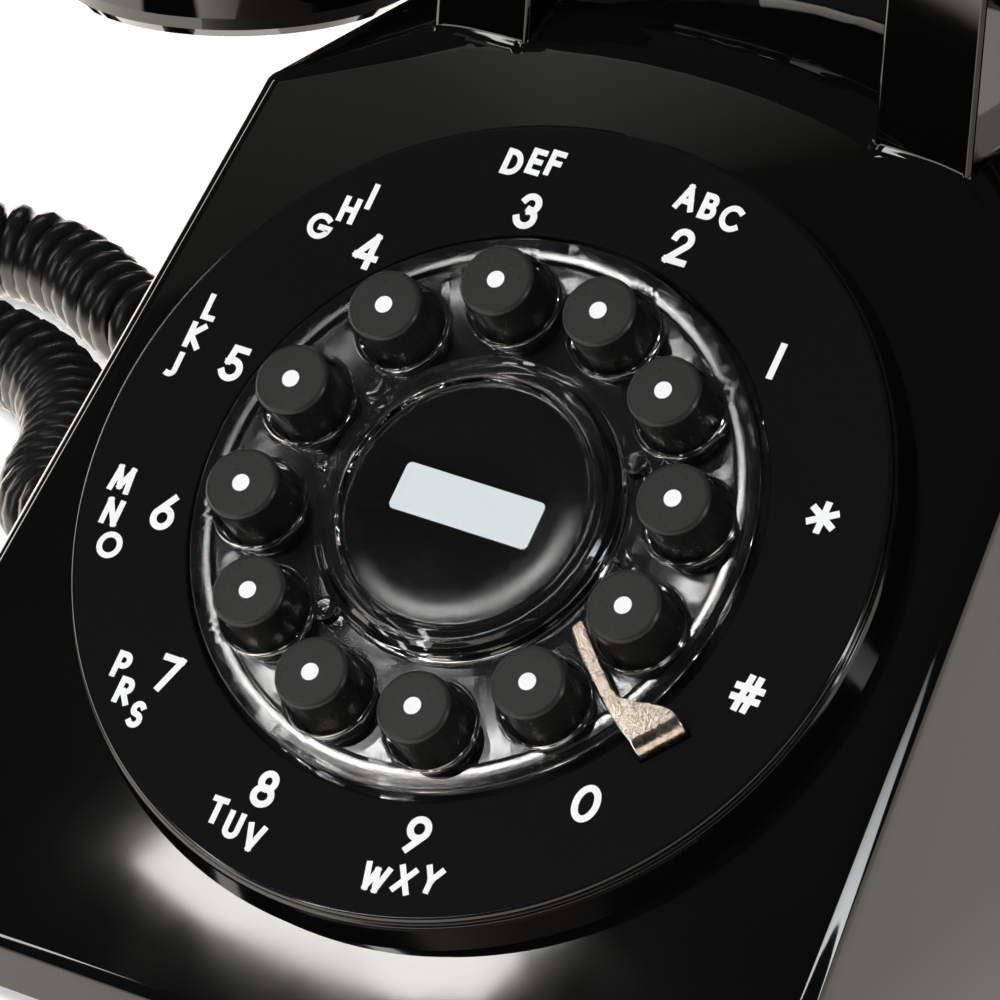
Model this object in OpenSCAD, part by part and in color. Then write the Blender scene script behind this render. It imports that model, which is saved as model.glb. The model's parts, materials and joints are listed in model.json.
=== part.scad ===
// Desk telephone with a round, dial-style keypad and a handset in a four-pronged cradle.
// Millimetres. +Z is up, -Y is the front, and the origin is on the table under the middle.

/* [Housing] */
// Width of the housing at its foot
base_width = 143; // [138:1:148]
// Depth of the housing at its foot
base_depth = 176; // [172:1:182]
// Height of the deck's middle above the table
deck_height = 113; // [112:0.5:116]
// How far each side wall leans in per millimetre of height
side_lean = 0.1; // [0.09:0.002:0.11]
// How far the rear wall leans in per millimetre of height
rear_lean = 0.11; // [0.1:0.002:0.13]
// How far below the deck's middle the side walls turn into the shoulders
shoulder_drop = 17; // [16:0.5:19]
// Half the width of the deck between the shoulders
deck_half = 38; // [36:0.5:40]
// Radius of the deck's sideways crown
crown_r = 180; // [160:5:260]
// Radius where the face rolls over into the deck
roll_r = 14; // [12:0.5:15]
// Radius of the long edges beside the face
edge_r = 3.5; // [3:0.5:5]
// Radius of the front lip and of the upright corners
lip_r = 3.5; // [2.5:0.5:4]
// Thickness of the moulded walls
wall = 3; // [2.4:0.1:3.4]

/* [Face] */
// Tilt of the face from level
face_tilt = 45; // [44:0.5:46]
// Height of the dial's centre above the table
dial_height = 65; // [63:0.5:67]
// Distance of the dial's centre behind the housing's front
dial_setback = 47; // [45:0.5:48]
// How far the number plate stands above the face
plate_rise = 6.6; // [6:0.1:7]

/* [Number plate] */
// Radius of the number plate
plate_r = 56.4; // [55:0.2:58]
// How much wider the number plate is where it meets the face
plate_flare = 1.4; // [0.8:0.1:1.8]
// Radius of the well that holds the finger wheel
well_r = 40; // [39.6:0.1:40.6]
// Depth of that well
well_depth = 4.5; // [4:0.1:4.6]
// Thickness of the number plate's walls
plate_wall = 2.1; // [1.8:0.1:2.2]

/* [Finger wheel] */
// Radius of the clear finger wheel
wheel_r = 39.1; // [38.6:0.1:39.3]
// Thickness of its disc
wheel_wall = 2; // [1.6:0.1:2.2]
// Height of its disc above the number plate
wheel_top = 1; // [0.8:0.1:1.2]
// Radius of its finger holes
finger_hole_r = 6; // [5.8:0.1:6.2]
// Outer radius of its hub collar
hub_r = 21.2; // [20.6:0.1:21.8]
// Height of the hub collar above the number plate
hub_top = 4.4; // [4:0.1:5]
// Radius of the centre disc inside the collar
disc_r = 17.6; // [17:0.1:18]
// Length of the name card
card_length = 21; // [18:0.5:22]
// Height of the name card
card_height = 6.8; // [6:0.2:8]

/* [Keys] */
// Radius of the circle that the keys lie on
key_pitch_r = 30; // [29.8:0.1:30.2]
// Radius of a key
key_r = 5.1; // [4.8:0.1:5.2]
// Height of the keys above the number plate
key_top = 8; // [7:0.2:9]
// How far a key goes down
key_travel = 1.5; // [1:0.1:1.6]

/* [Finger stop] */
// Thickness of the metal
stop_metal = 0.9; // [0.7:0.1:1]
// Height of the blade's top above the number plate
stop_top = 2.6; // [2.5:0.1:3.2]
// Distance from the dial's centre to the outer face of the folded leg
stop_reach = 43.6; // [43.2:0.1:44.4]
// Width of the stop at its folded end
stop_width = 7; // [6:0.2:7.4]

/* [Cradle] */
// Width of each prong from side to side
prong_width = 14.6; // [13:0.2:15.6]
// Gap between the left and right prongs
prong_gap = 53; // [51:0.5:55]
// Front of the cradle
cradle_front = 10.5; // [9.5:0.5:12]
// Length of the cradle from front to back
cradle_length = 65; // [63:0.5:67]
// Height of the prongs' tips above the deck's middle
prong_rise = 28; // [23:1:33]
// Height of the saddle that the handset rests on, above the deck's middle
saddle_rise = 6; // [5.5:0.5:8]
// How far the cradle's hook bar rises when the handset is lifted
hook_travel = 4; // [3:0.5:5]
// Radius of the two hook pins
hook_pin_r = 3.4; // [3:0.1:3.8]

/* [Handset] */
// Width of the handle
handle_width = 32; // [30:0.5:34]
// Height of the handle
handle_height = 23; // [21:0.5:25]
// Radius of the handle's long edges
handle_edge_r = 10; // [8:0.5:10]
// How far each cap's centre stands out past the housing's foot
cap_reach = 20; // [19:0.5:23]
// Radius of the caps
cap_r = 27; // [26:0.2:27.6]
// How far the caps' lower faces hang below the saddle, at their centre
cap_drop = 29; // [27:0.5:31]
// Height of a cap
cap_height = 13; // [12:0.5:14]
// How far the caps lean towards each other, in degrees
cap_tilt = 5; // [3:0.5:7]
// Thickness of a cap's walls
cap_wall = 2.3; // [2:0.1:2.5]

/* [Base] */
// Height of the rubber feet
foot_height = 2.5; // [2:0.1:3]
// Radius of the rubber feet
foot_r = 8; // [7:0.5:9]
// Thickness of the base plate
plate_t = 2.6; // [2.2:0.1:3]
// Height of the posts under the main board
board_post = 5; // [4:0.2:6]
// Thickness of the circuit boards
board_t = 1.6; // [1.2:0.1:1.8]

/* [Cord] */
// Outer diameter of the coiled cord
coil_d = 15; // [13:0.2:15.2]
// Diameter of the cord's straight ends
lead_d = 4; // [3.4:0.2:4.4]

/* [Hidden] */
$fn = 64;
hull_fn = 32;

// Clearances: between pieces that are fixed together, and round pieces that slide
fit = 0.2;
slide = 0.1;
over = 1; // how far a cutter runs past what it cuts

sin_t = sin(face_tilt);
cos_t = cos(face_tilt);
dial_y = dial_setback - base_depth / 2;
shoulder_height = deck_height - shoulder_drop;
saddle_height = deck_height + saddle_rise;
prong_tip = deck_height + prong_rise;
cap_x = base_width / 2 + cap_reach;
cap_low = saddle_height - cap_drop;

// Planes of the housing: half its width and its rear at a height, and the face at a depth under it
function side_x(z) = base_width / 2 - side_lean * (z - foot_height);
function rear_y(z) = base_depth / 2 - rear_lean * (z - foot_height);
function face_y(z, depth) = dial_y + (cos_t * (z - dial_height) + plate_rise + depth) / sin_t;
function face_z(y, depth) = dial_height + (sin_t * (y - dial_y) - plate_rise - depth) / cos_t;
function crown_z(x) = deck_height - x * x / (2 * crown_r);

// Heights along the dial's own axis, counted from the top of the number plate
face_n = -plate_rise;
inner_face_n = face_n - wall;
well_n = -well_depth;
flange_top_n = face_n - 0.3;
flange_t = 1.2;
key_foot_n = flange_top_n - flange_t - 2.5;
dome_n = key_foot_n - key_travel - 0.2;
dome_h = 1.1;
dome_r = 3.4;
mat_t = 0.8;
board_n = dome_n - dome_h - mat_t;

key_count = 12;
key_step = 360 / key_count;
first_key = 45;
opening_r = key_pitch_r + finger_hole_r + 1.6;
stud_ring_r = 50;
stud_r = 2;
mat_half = key_pitch_r + key_r + 1.4;
keypad_screw_at = mat_half - 0.5;
keypad_post_r = 3.5;
board_half = keypad_screw_at + keypad_post_r + 1.5;

prong_x = prong_gap / 2 + prong_width / 2;
cradle_y = cradle_front + cradle_length / 2;
handle_low = saddle_height + 0.3;

base_inner_z = foot_height + plate_t;
board_z = base_inner_z + board_post;
board_top = board_z + board_t;
jack_y = 20;
line_jack_x = -20;
board_left = 9.5 - base_width / 2;
board_right = base_width / 2 - 17.5;
board_front = -14;
board_rear = base_depth / 2 - 9;
board_screw_inset = 7;
foot_x = base_width / 2 - 13.5;
foot_y = base_depth / 2 - 14;
base_screw_x = base_width / 2 - 29.5;
base_screw_front = 22 - base_depth / 2;
base_screw_rear = board_rear;
boss_r = 4;
rear_boss_h = 36;
ringer_at = [30, dial_y + 1];
ringer_r = 13;

shank_r = 1.3;
pilot_r = shank_r + 0.05;
base_pilot_h = 14;
bracket_pilot_h = 10;

bracket_z = deck_height - 63;
bracket_t = 2.4;
bracket_post_x = 22;
bracket_post_y = 20;
bar_z = bracket_z + 8 + hook_travel;
bar_h = 6;
bar_end = 5;

/* ---- Helpers ---- */

// The dial's own frame: x to the right, y up the slope, z out of the face
module on_dial() {
    translate([0, dial_y, dial_height]) rotate([face_tilt, 0, 0]) children();
}

module at_key(index) {
    rotate([0, 0, first_key + key_step * index]) translate([key_pitch_r, 0, 0]) children();
}

module at_keys() {
    for (index = [0 : key_count - 1]) at_key(index) children();
}

module at_corners(x, y) {
    for (side = [-1, 1], end = [-1, 1]) translate([side * x, end * y, 0]) children();
}

module at_base_screws() {
    for (side = [-1, 1], y = [base_screw_front, base_screw_rear])
        translate([side * base_screw_x, y, 0]) children();
}

module at_board_screws() {
    for (x = [board_left + board_screw_inset, board_right - board_screw_inset],
         y = [board_front + board_screw_inset, board_rear - board_screw_inset])
        translate([x, y, 0]) children();
}

module at_studs() {
    for (turn = [0 : 90 : 270]) rotate([0, 0, turn]) translate([stud_ring_r, 0, 0]) children();
}

// A rectangle with round corners, centred on the origin
module round_rect(width, height, r) {
    square([width - 2 * r, height], center = true);
    square([width, height - 2 * r], center = true);
    for (side = [-1, 1], end = [-1, 1])
        translate([side * (width / 2 - r), end * (height / 2 - r)]) circle(r);
}

// Extrudes an outline drawn in Y and Z along X, centred on x
module along_x(length, x) {
    translate([x - length / 2, 0, 0]) rotate([90, 0, 90]) linear_extrude(length) children();
}

// A pan-head screw, head up at the origin and shank below
module screw(head_r, head_h, shank_r, shank) {
    difference() {
        cylinder(r = head_r, h = head_h);
        for (turn = [0, 90]) rotate([0, 0, turn])
            translate([-head_r * 0.6, -0.3, head_h / 3]) cube([head_r * 1.2, 0.6, head_h]);
    }
    translate([0, 0, -shank]) cylinder(r = shank_r, h = shank + 0.01);
}

/* ---- Housing ---- */

module side_balls(x, y, z, r) {
    for (side = [-1, 1]) translate([side * x, y, z]) sphere(r, $fn = hull_fn);
}

module crown_balls(x) {
    lean = asin(x / crown_r);
    z = crown_z(x) - roll_r * cos(lean);
    for (y = [face_y(z, roll_r), rear_y(z) - roll_r])
        side_balls(x - roll_r * sin(lean), y, z, roll_r);
}

module housing_outside() {
    lip_y = lip_r - base_depth / 2;
    lip_z = face_z(lip_y, lip_r);
    shoulder_z = shoulder_height - edge_r / 2;
    hull() {
        at_corners(side_x(foot_height) - lip_r, base_depth / 2 - lip_r)
            translate([0, 0, foot_height]) cylinder(r = lip_r, h = 1, $fn = hull_fn);
        side_balls(side_x(lip_z) - lip_r, lip_y, lip_z, lip_r);
        for (y = [face_y(shoulder_z, edge_r), rear_y(shoulder_z) - edge_r])
            side_balls(side_x(shoulder_height) - edge_r, y, shoulder_z, edge_r);
        for (share = [0, 0.5, 1]) crown_balls(deck_half * share);
    }
}

module housing_inside() {
    top = deck_height - wall;
    front = wall - base_depth / 2;
    bevel = roll_r * 0.6;
    shoulder_z = shoulder_height - wall / 2;
    half_outline = [
        [side_x(-over) - wall, -over], [side_x(shoulder_z) - wall, shoulder_z],
        [deck_half, crown_z(deck_half) - wall * 1.1]
    ];
    intersection() {
        along_x(base_width, 0) polygon([
            [front, -over], [front, face_z(front, wall)],
            [face_y(top - bevel, wall), top - bevel], [face_y(top, wall) + bevel, top],
            [rear_y(top) - wall - bevel, top], [rear_y(top - bevel) - wall, top - bevel],
            [rear_y(-over) - wall, -over]
        ]);
        translate([0, base_depth / 2, 0]) rotate([90, 0, 0]) linear_extrude(base_depth) polygon(concat(
            half_outline, [[0, top]],
            [for (i = [len(half_outline) - 1 : -1 : 0]) [-half_outline[i][0], half_outline[i][1]]]
        ));
    }
}

// Side outline of one pair of prongs, with the saddle between them
module prong_outline() {
    root = crown_z(prong_x + prong_width / 2) - wall - 1.5;
    tip_r = 4;
    saddle_half = handle_width / 2 + 0.5;
    saddle_r = handle_edge_r + 0.5;
    flare = 3;
    difference() {
        union() {
            translate([cradle_front, root]) square([cradle_length, prong_tip - tip_r - root]);
            translate([cradle_front + tip_r, root])
                square([cradle_length - 2 * tip_r, prong_tip - root]);
            for (y = [cradle_front + tip_r, cradle_front + cradle_length - tip_r])
                translate([y, prong_tip - tip_r]) circle(tip_r);
        }
        translate([cradle_y - saddle_half, saddle_height + saddle_r])
            square([2 * saddle_half, prong_tip]);
        translate([cradle_y - saddle_half + saddle_r, saddle_height])
            square([2 * (saddle_half - saddle_r), 2 * saddle_r]);
        for (side = [-1, 1])
            translate([cradle_y + side * (saddle_half - saddle_r), saddle_height + saddle_r])
                circle(saddle_r);
        polygon([
            [cradle_y - saddle_half, prong_tip - 3 * flare],
            [cradle_y + saddle_half, prong_tip - 3 * flare],
            [cradle_y + saddle_half + flare, prong_tip + 0.01],
            [cradle_y - saddle_half - flare, prong_tip + 0.01]
        ]);
    }
}

// Cuts through a wall whose outer face is at y = 0
module wall_hole(width, height, z) {
    translate([-width / 2, -2 * wall, z]) cube([width, 4 * wall, height]);
}

module housing() {
    color("black") difference() {
        union() {
            difference() {
                housing_outside();
                housing_inside();
            }
            for (side = [-1, 1]) along_x(prong_width, side * prong_x) prong_outline();
            on_dial() at_corners(keypad_screw_at, keypad_screw_at)
                translate([0, 0, board_n]) cylinder(r = keypad_post_r, h = inner_face_n - board_n + 1);
            for (side = [-1, 1]) {
                translate([side * base_screw_x, base_screw_front, base_inner_z])
                    cylinder(r = boss_r, h = face_z(base_screw_front - boss_r, wall / 2) - base_inner_z);
                translate([side * base_screw_x, base_screw_rear, base_inner_z])
                    cylinder(r = boss_r, h = rear_boss_h);
            }
            translate([0, cradle_y, bracket_z + bracket_t]) at_corners(bracket_post_x, bracket_post_y)
                cylinder(r = boss_r, h = crown_z(bracket_post_x) - wall / 2 - bracket_z - bracket_t);
        }
        on_dial() {
            translate([0, 0, inner_face_n - over]) cylinder(r = opening_r, h = wall + 2 * over);
            at_studs() translate([0, 0, inner_face_n - over])
                cylinder(r = stud_r + fit, h = wall + 2 * over);
            at_corners(keypad_screw_at, keypad_screw_at)
                translate([0, 0, board_n - over]) cylinder(r = pilot_r, h = 5 + over);
        }
        at_base_screws() translate([0, 0, foot_height]) cylinder(r = pilot_r, h = base_pilot_h);
        translate([0, cradle_y, bracket_z]) at_corners(bracket_post_x, bracket_post_y)
            cylinder(r = pilot_r, h = bracket_pilot_h);
        for (side = [-1, 1]) translate([side * prong_x, cradle_y, bar_z + bar_h])
            cylinder(r = hook_pin_r + slide, h = saddle_height - bar_z - bar_h + over);
        translate([-side_x(board_top), jack_y, 0]) rotate([0, 0, -90])
            wall_hole(jack_w + 2 * fit, jack_h + 2 * fit, board_top - fit);
        translate([line_jack_x, rear_y(board_top), 0])
            wall_hole(line_jack_w + 2 * fit, jack_h + 2 * fit, board_top - fit);
        for (x = [ringer_x, tone_x]) translate([x, rear_y(board_top), 0])
            wall_hole(knob_w + knob_travel + 4 * fit, knob_h + 4 * fit, knob_z - 2 * fit);
    }
}

/* ---- Base ---- */

module base_outline(inset) {
    z = base_inner_z;
    front = base_depth / 2 - wall - fit - inset;
    rear = rear_y(z) - wall - fit - inset;
    half = side_x(z) - wall - fit - inset;
    translate([0, (rear - front) / 2]) round_rect(2 * half, rear + front, lip_r);
}

module base_plate() {
    color("dimgray") difference() {
        union() {
            translate([0, 0, foot_height]) linear_extrude(plate_t) base_outline(0);
            at_board_screws() translate([0, 0, base_inner_z - 0.01]) cylinder(r = 3, h = board_post + 0.01);
            translate([ringer_at[0], ringer_at[1], base_inner_z - 0.01]) difference() {
                cylinder(r = ringer_r + fit + 1.6, h = 4);
                translate([0, 0, -over]) cylinder(r = ringer_r + fit, h = 4 + 2 * over);
            }
        }
        at_base_screws() {
            translate([0, 0, foot_height - over]) cylinder(r = 1.7, h = plate_t + 2 * over);
            translate([0, 0, foot_height - over]) cylinder(r = 3.2, h = over + 1.2);
        }
        at_board_screws() translate([0, 0, base_inner_z]) cylinder(r = pilot_r, h = board_post + over);
        translate([ringer_at[0], ringer_at[1], foot_height - over]) {
            cylinder(r = 1.2, h = plate_t + 2 * over);
            for (turn = [0 : 45 : 315]) rotate([0, 0, turn]) translate([6, 0, 0])
                cylinder(r = 1.2, h = plate_t + 2 * over);
        }
    }
}

module rubber_feet() {
    color("dimgray") at_corners(foot_x, foot_y) rotate_extrude() polygon([
        [0, 0], [foot_r - 1, 0], [foot_r, foot_height], [0, foot_height]
    ]);
}

module base_screws() {
    color("silver") at_base_screws() translate([0, 0, foot_height + 1.2]) mirror([0, 0, 1])
        screw(2.8, 1.1, shank_r, 12);
}

/* ---- Dial ---- */

module number_plate() {
    color("black") on_dial() difference() {
        union() {
            rotate_extrude($fn = 96) polygon([
                [0, face_n], [well_r + plate_wall, face_n], [well_r + plate_wall, -plate_wall],
                [plate_r - plate_wall, -plate_wall], [plate_r + plate_flare - plate_wall, face_n],
                [plate_r + plate_flare, face_n], [plate_r + 0.5, -plate_wall / 2],
                [plate_r, -0.4], [plate_r - 0.8, 0], [well_r, 0], [well_r, well_n], [0, well_n]
            ]);
            at_studs() translate([0, 0, inner_face_n - 2.5])
                cylinder(r = stud_r, h = wall + 2.5 + plate_rise - plate_wall + 0.01);
        }
        at_keys() translate([0, 0, face_n - over]) cylinder(r = key_r + slide, h = plate_rise + over);
        in_stop_frame() translate([stop_reach - stop_metal - fit, stop_side - fit, -plate_wall - over])
            cube([stop_metal + 2 * fit, stop_width + 2 * fit, plate_wall + 2 * over]);
    }
}

module finger_wheel() {
    rim = 3;
    skin_n = wheel_top - wheel_wall;
    collar_r = disc_r + fit;
    lug_turns = [33, 150, 236];
    color([0.85, 0.88, 0.9, 0.4]) on_dial() difference() {
        union() {
            rotate_extrude($fn = 96) polygon([
                [collar_r, skin_n], [collar_r, hub_top], [hub_r - 0.9, hub_top],
                [hub_r, hub_top - 1], [hub_r, wheel_top], [wheel_r - rim - 0.4, wheel_top],
                [wheel_r - rim, wheel_top + 0.4], [wheel_r - 0.5, wheel_top + 0.4],
                [wheel_r, wheel_top - 0.2], [wheel_r, well_n], [wheel_r - wheel_wall, well_n],
                [wheel_r - wheel_wall, skin_n]
            ]);
            at_keys() translate([0, 0, wheel_top - 0.01]) cylinder(r = finger_hole_r + 0.7, h = 0.4);
            for (turn = lug_turns) rotate([0, 0, turn]) translate([hub_r + 1.6, 0, 0])
                cylinder(r = 1.7, h = hub_top - 1.4);
        }
        at_keys() translate([0, 0, skin_n - over])
            cylinder(r = finger_hole_r, h = wheel_wall + hub_top + over);
    }
}

module card_outline(gap) {
    round_rect(card_length + 2 * gap, card_height + 2 * gap, 0.8);
}

card_t = 0.4;
disc_n = hub_top - 1.6;

module centre_disc() {
    color("black") on_dial() difference() {
        rotate_extrude($fn = 96) polygon([
            [0, disc_n - 2], [disc_r - 2, disc_n - 2], [disc_r - 2, well_n], [disc_r, well_n],
            [disc_r, disc_n], [0, disc_n]
        ]);
        translate([0, 0, disc_n - card_t]) linear_extrude(card_t + over) card_outline(0.1);
    }
}

module number_card() {
    color("white") on_dial() translate([0, 0, disc_n - card_t]) linear_extrude(card_t) card_outline(0);
}

// A shallow dome over the centre disc and its card
module card_lens() {
    bulge = 0.15;
    edge_t = 0.9;
    bands = 8;
    color([0.85, 0.88, 0.9, 0.4]) on_dial() rotate_extrude($fn = 96) polygon(concat(
        [[0, disc_n], [disc_r, disc_n]],
        [for (band = [bands : -1 : 0])
            let (share = band / bands)
            [disc_r * share, disc_n + edge_t + bulge * (1 - share * share)]]
    ));
}

// The finger stop lies beside a line through the dial's centre, turned by stop_turn
stop_turn = -42;
stop_tip = 22.8;
stop_side = 6.4;

module in_stop_frame() {
    rotate([0, 0, stop_turn]) children();
}

module finger_stop() {
    bend_r = 2.2;
    blade_w = 1.8;
    blade_side = stop_side - 0.9;
    scoop_r = 6.2;
    color("silver") on_dial() in_stop_frame() intersection() {
        translate([0, stop_side + stop_width, 0]) rotate([90, 0, 0]) linear_extrude(stop_width + 2)
            union() {
                translate([stop_tip, stop_top - stop_metal])
                    square([stop_reach - bend_r - stop_tip, stop_metal]);
                translate([stop_reach - bend_r, stop_top - bend_r]) intersection() {
                    difference() {
                        circle(bend_r);
                        circle(bend_r - stop_metal);
                    }
                    square(bend_r);
                }
                translate([stop_reach - stop_metal, face_n + 0.3])
                    square([stop_metal, stop_top - bend_r - face_n - 0.3]);
            }
        translate([0, 0, face_n]) linear_extrude(plate_rise + stop_top + over) difference() {
            polygon([
                [stop_tip, blade_side + 0.4], [stop_tip + 0.6, blade_side],
                [stop_reach - bend_r, stop_side], [stop_reach + over, stop_side],
                [stop_reach + over, stop_side + stop_width],
                [stop_reach - 3.4, stop_side + stop_width],
                [stop_reach - 9.8, blade_side + blade_w - 0.1],
                [stop_tip + 0.6, blade_side + blade_w], [stop_tip, blade_side + blade_w - 0.5]
            ]);
            translate([stop_reach - 9.9, blade_side + blade_w + scoop_r - 0.1]) circle(scoop_r);
        }
    }
}

/* ---- Keys and keypad ---- */

module key(index) {
    shell = 1.2;
    roof = 2;
    stem_r = 2;
    bevel = 0.5;
    color([0.12, 0.12, 0.12]) on_dial() at_key(index) rotate_extrude() polygon([
        [0, key_foot_n], [stem_r, key_foot_n], [stem_r, key_top - roof], [key_r - shell, key_top - roof],
        [key_r - shell, flange_top_n - flange_t], [key_r + 1, flange_top_n - flange_t],
        [key_r + 1, flange_top_n], [key_r, flange_top_n], [key_r, key_top - bevel],
        [key_r - bevel, key_top], [0, key_top]
    ]);
}

module key_mat() {
    color("gray") on_dial() {
        translate([0, 0, board_n]) linear_extrude(mat_t) difference() {
            round_rect(2 * mat_half, 2 * mat_half, 2);
            at_corners(keypad_screw_at, keypad_screw_at) circle(keypad_post_r + 2 * fit);
        }
        at_keys() translate([0, 0, board_n + mat_t - 0.01]) cylinder(r = dome_r, h = dome_h);
    }
}

module keypad_board() {
    color("darkgreen") on_dial() difference() {
        translate([0, 0, board_n - board_t]) linear_extrude(board_t)
            round_rect(2 * board_half, 2 * board_half, 2);
        at_corners(keypad_screw_at, keypad_screw_at)
            translate([0, 0, board_n - board_t - over]) cylinder(r = 1.6, h = board_t + 2 * over);
    }
}

module keypad_screws() {
    color("silver") on_dial() at_corners(keypad_screw_at, keypad_screw_at)
        translate([0, 0, board_n - board_t]) mirror([0, 0, 1]) screw(2.6, 1.5, shank_r, 5.8);
}

/* ---- Main board, jacks and switches ---- */

jack_w = 11;
line_jack_w = 14;
jack_h = 9.6;
jack_depth = 15;
socket_depth = 12;
recess = 1.2;

// A modular jack: open at -Y, seated on z = 0
module jack(width, socket_w) {
    difference() {
        translate([-width / 2, 0, 0]) cube([width, jack_depth, jack_h]);
        translate([-socket_w / 2, -over, 1.2]) cube([socket_w, socket_depth + over, 7.2]);
        translate([-1.7, -over, 1.2]) cube([3.4, 8 + over, 8.2 - 0.6]);
    }
}

module main_board() {
    color("darkgreen") difference() {
        translate([board_left, board_front, board_z])
            cube([board_right - board_left, board_rear - board_front, board_t]);
        at_board_screws() translate([0, 0, board_z - over]) cylinder(r = 1.6, h = board_t + 2 * over);
        at_base_screws() translate([0, 0, board_z - over]) cylinder(r = boss_r + 1, h = board_t + 2 * over);
    }
}

module main_board_screws() {
    color("silver") at_board_screws() translate([0, 0, board_top]) screw(2.6, 1.5, shank_r, 5.6);
}

module line_jack() {
    color([0.15, 0.15, 0.15]) translate([line_jack_x, rear_y(board_top + jack_h) - recess, board_top])
        rotate([0, 0, 180]) jack(line_jack_w, 9.8);
}

handset_jack_x = recess - side_x(board_top + jack_h);

module handset_jack() {
    color([0.15, 0.15, 0.15]) translate([handset_jack_x, jack_y, board_top])
        rotate([0, 0, -90]) jack(jack_w, 8.1);
}

ringer_x = 4;
tone_x = 22;
knob_w = 3.4;
knob_h = 3;
knob_travel = 4;
knob_z = board_top + 3;
switch_depth = 8;
switch_h = 9;
switch_y = rear_y(board_top + switch_h) - wall - fit - switch_depth;

// A slide switch whose slot faces +Y
module slide_switch(x) {
    color("silver") translate([x, switch_y, board_top]) difference() {
        translate([-7, 0, 0]) cube([14, switch_depth, switch_h]);
        translate([-(knob_w + knob_travel) / 2 - fit, switch_depth - 5, knob_z - board_top - fit])
            cube([knob_w + knob_travel + 2 * fit, 5 + over, knob_h + 2 * fit]);
    }
}

module slide_knob(x) {
    start = switch_y + switch_depth - 4.5;
    color("black") translate([x - (knob_w + knob_travel) / 2, start, knob_z])
        cube([knob_w, rear_y(knob_z + knob_h) - recess / 2 - start, knob_h]);
}

/* ---- Hook switch and ringer ---- */

module hook_bracket() {
    color("dimgray") {
        difference() {
            translate([0, cradle_y, bracket_z]) linear_extrude(bracket_t)
                round_rect(2 * bracket_post_x + 12, 2 * bracket_post_y + 12, 4);
            translate([0, cradle_y, bracket_z - over]) at_corners(bracket_post_x, bracket_post_y)
                cylinder(r = 1.6, h = bracket_t + 2 * over);
        }
        translate([0, cradle_y, bracket_z + bracket_t - 0.01]) cylinder(r = 3, h = 5);
    }
}

module bracket_screws() {
    color("silver") translate([0, cradle_y, bracket_z]) at_corners(bracket_post_x, bracket_post_y)
        mirror([0, 0, 1]) screw(2.8, 1.5, shank_r, 9);
}

module hook_bar() {
    bar_length = 2 * (prong_x + bar_end);
    color("black") {
        translate([-bar_length / 2, cradle_y - 4, bar_z]) cube([bar_length, 8, bar_h]);
        for (side = [-1, 1]) translate([side * prong_x, cradle_y, bar_z + bar_h - 0.01])
            rotate_extrude() polygon([
                [0, 0], [hook_pin_r, 0], [hook_pin_r, handle_low - 1.1 - bar_z - bar_h],
                [hook_pin_r - 0.8, handle_low - 0.3 - bar_z - bar_h], [0, handle_low - 0.3 - bar_z - bar_h]
            ]);
    }
}

spring_r = 4.2;
spring_wire = 0.9;
spring_turns = 5;
spring_steps = 14;
spring_low = bracket_z + bracket_t + spring_wire / 2;
spring_high = bar_z - spring_wire / 2;

// One ring of the spring's wire at a step along the helix
function spring_ring(step, sides) =
    let (turn = 360 * step / spring_steps,
         z = spring_low + (spring_high - spring_low) * step / (spring_turns * spring_steps))
    [for (side = [0 : sides - 1])
        let (a = 360 * side / sides, r = spring_r + spring_wire / 2 * cos(a))
        [r * cos(turn), r * sin(turn), z + spring_wire / 2 * sin(a)]];

// Side faces and the two end faces of a tube of rings
function tube_faces(rings, sides) = concat(
    [[for (side = [0 : sides - 1]) side]],
    [for (ring = [0 : rings - 2], side = [0 : sides - 1]) each [
        [ring * sides + side, (ring + 1) * sides + side, ring * sides + (side + 1) % sides],
        [ring * sides + (side + 1) % sides, (ring + 1) * sides + side,
         (ring + 1) * sides + (side + 1) % sides]
    ]],
    [[for (side = [sides - 1 : -1 : 0]) (rings - 1) * sides + side]]
);

module hook_spring() {
    sides = 6;
    steps = spring_turns * spring_steps;
    color("silver") translate([0, cradle_y, 0]) polyhedron(
        points = [for (step = [0 : steps]) each spring_ring(step, sides)],
        faces = tube_faces(steps + 1, sides)
    );
}

module hook_switch() {
    lever_top = bar_z - 0.3;
    color([0.15, 0.15, 0.15]) translate([12, cradle_y - 3, bracket_z + bracket_t]) {
        cube([12.8, 6, 7.6]);
        translate([6.4, 3, 7.59]) cylinder(r = 1.2, h = lever_top - bracket_z - bracket_t - 7.59);
    }
}

module ringer() {
    color("black") translate([ringer_at[0], ringer_at[1], base_inner_z]) rotate_extrude() polygon([
        [0, 0.8], [4, 0.8], [4, 0], [ringer_r, 0], [ringer_r, 7], [ringer_r - 3, 9], [0, 9]
    ]);
}

/* ---- Handset ---- */

cup_r = cap_r - cap_wall - fit;
cup_wall = 3;
cup_floor = 14;

// The frame of one cup: z = 0 is the outer face of the cap, and the cup opens towards -Z
module at_cup(side) {
    translate([side * cap_x, cradle_y, cap_low]) rotate([0, side * cap_tilt, 0]) children();
}

// Stations along the right half of the handle, from its middle to the cup: the inner edge and
// the outer edge in X and Z, and the half width
handle_top = handle_low + handle_height;
handle_half = handle_width / 2;
neck_r = cap_r - 0.5;
neck_low = cap_height + 0.3;
neck_in = cap_x - neck_r;
neck_out = cap_x + neck_r;

// A point of the cup's own frame, seen from the front, as X and Z
function cup_xz(out, up) = [
    cap_x + out * cos(cap_tilt) + up * sin(cap_tilt),
    cap_low - out * sin(cap_tilt) + up * cos(cap_tilt)
];

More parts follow.
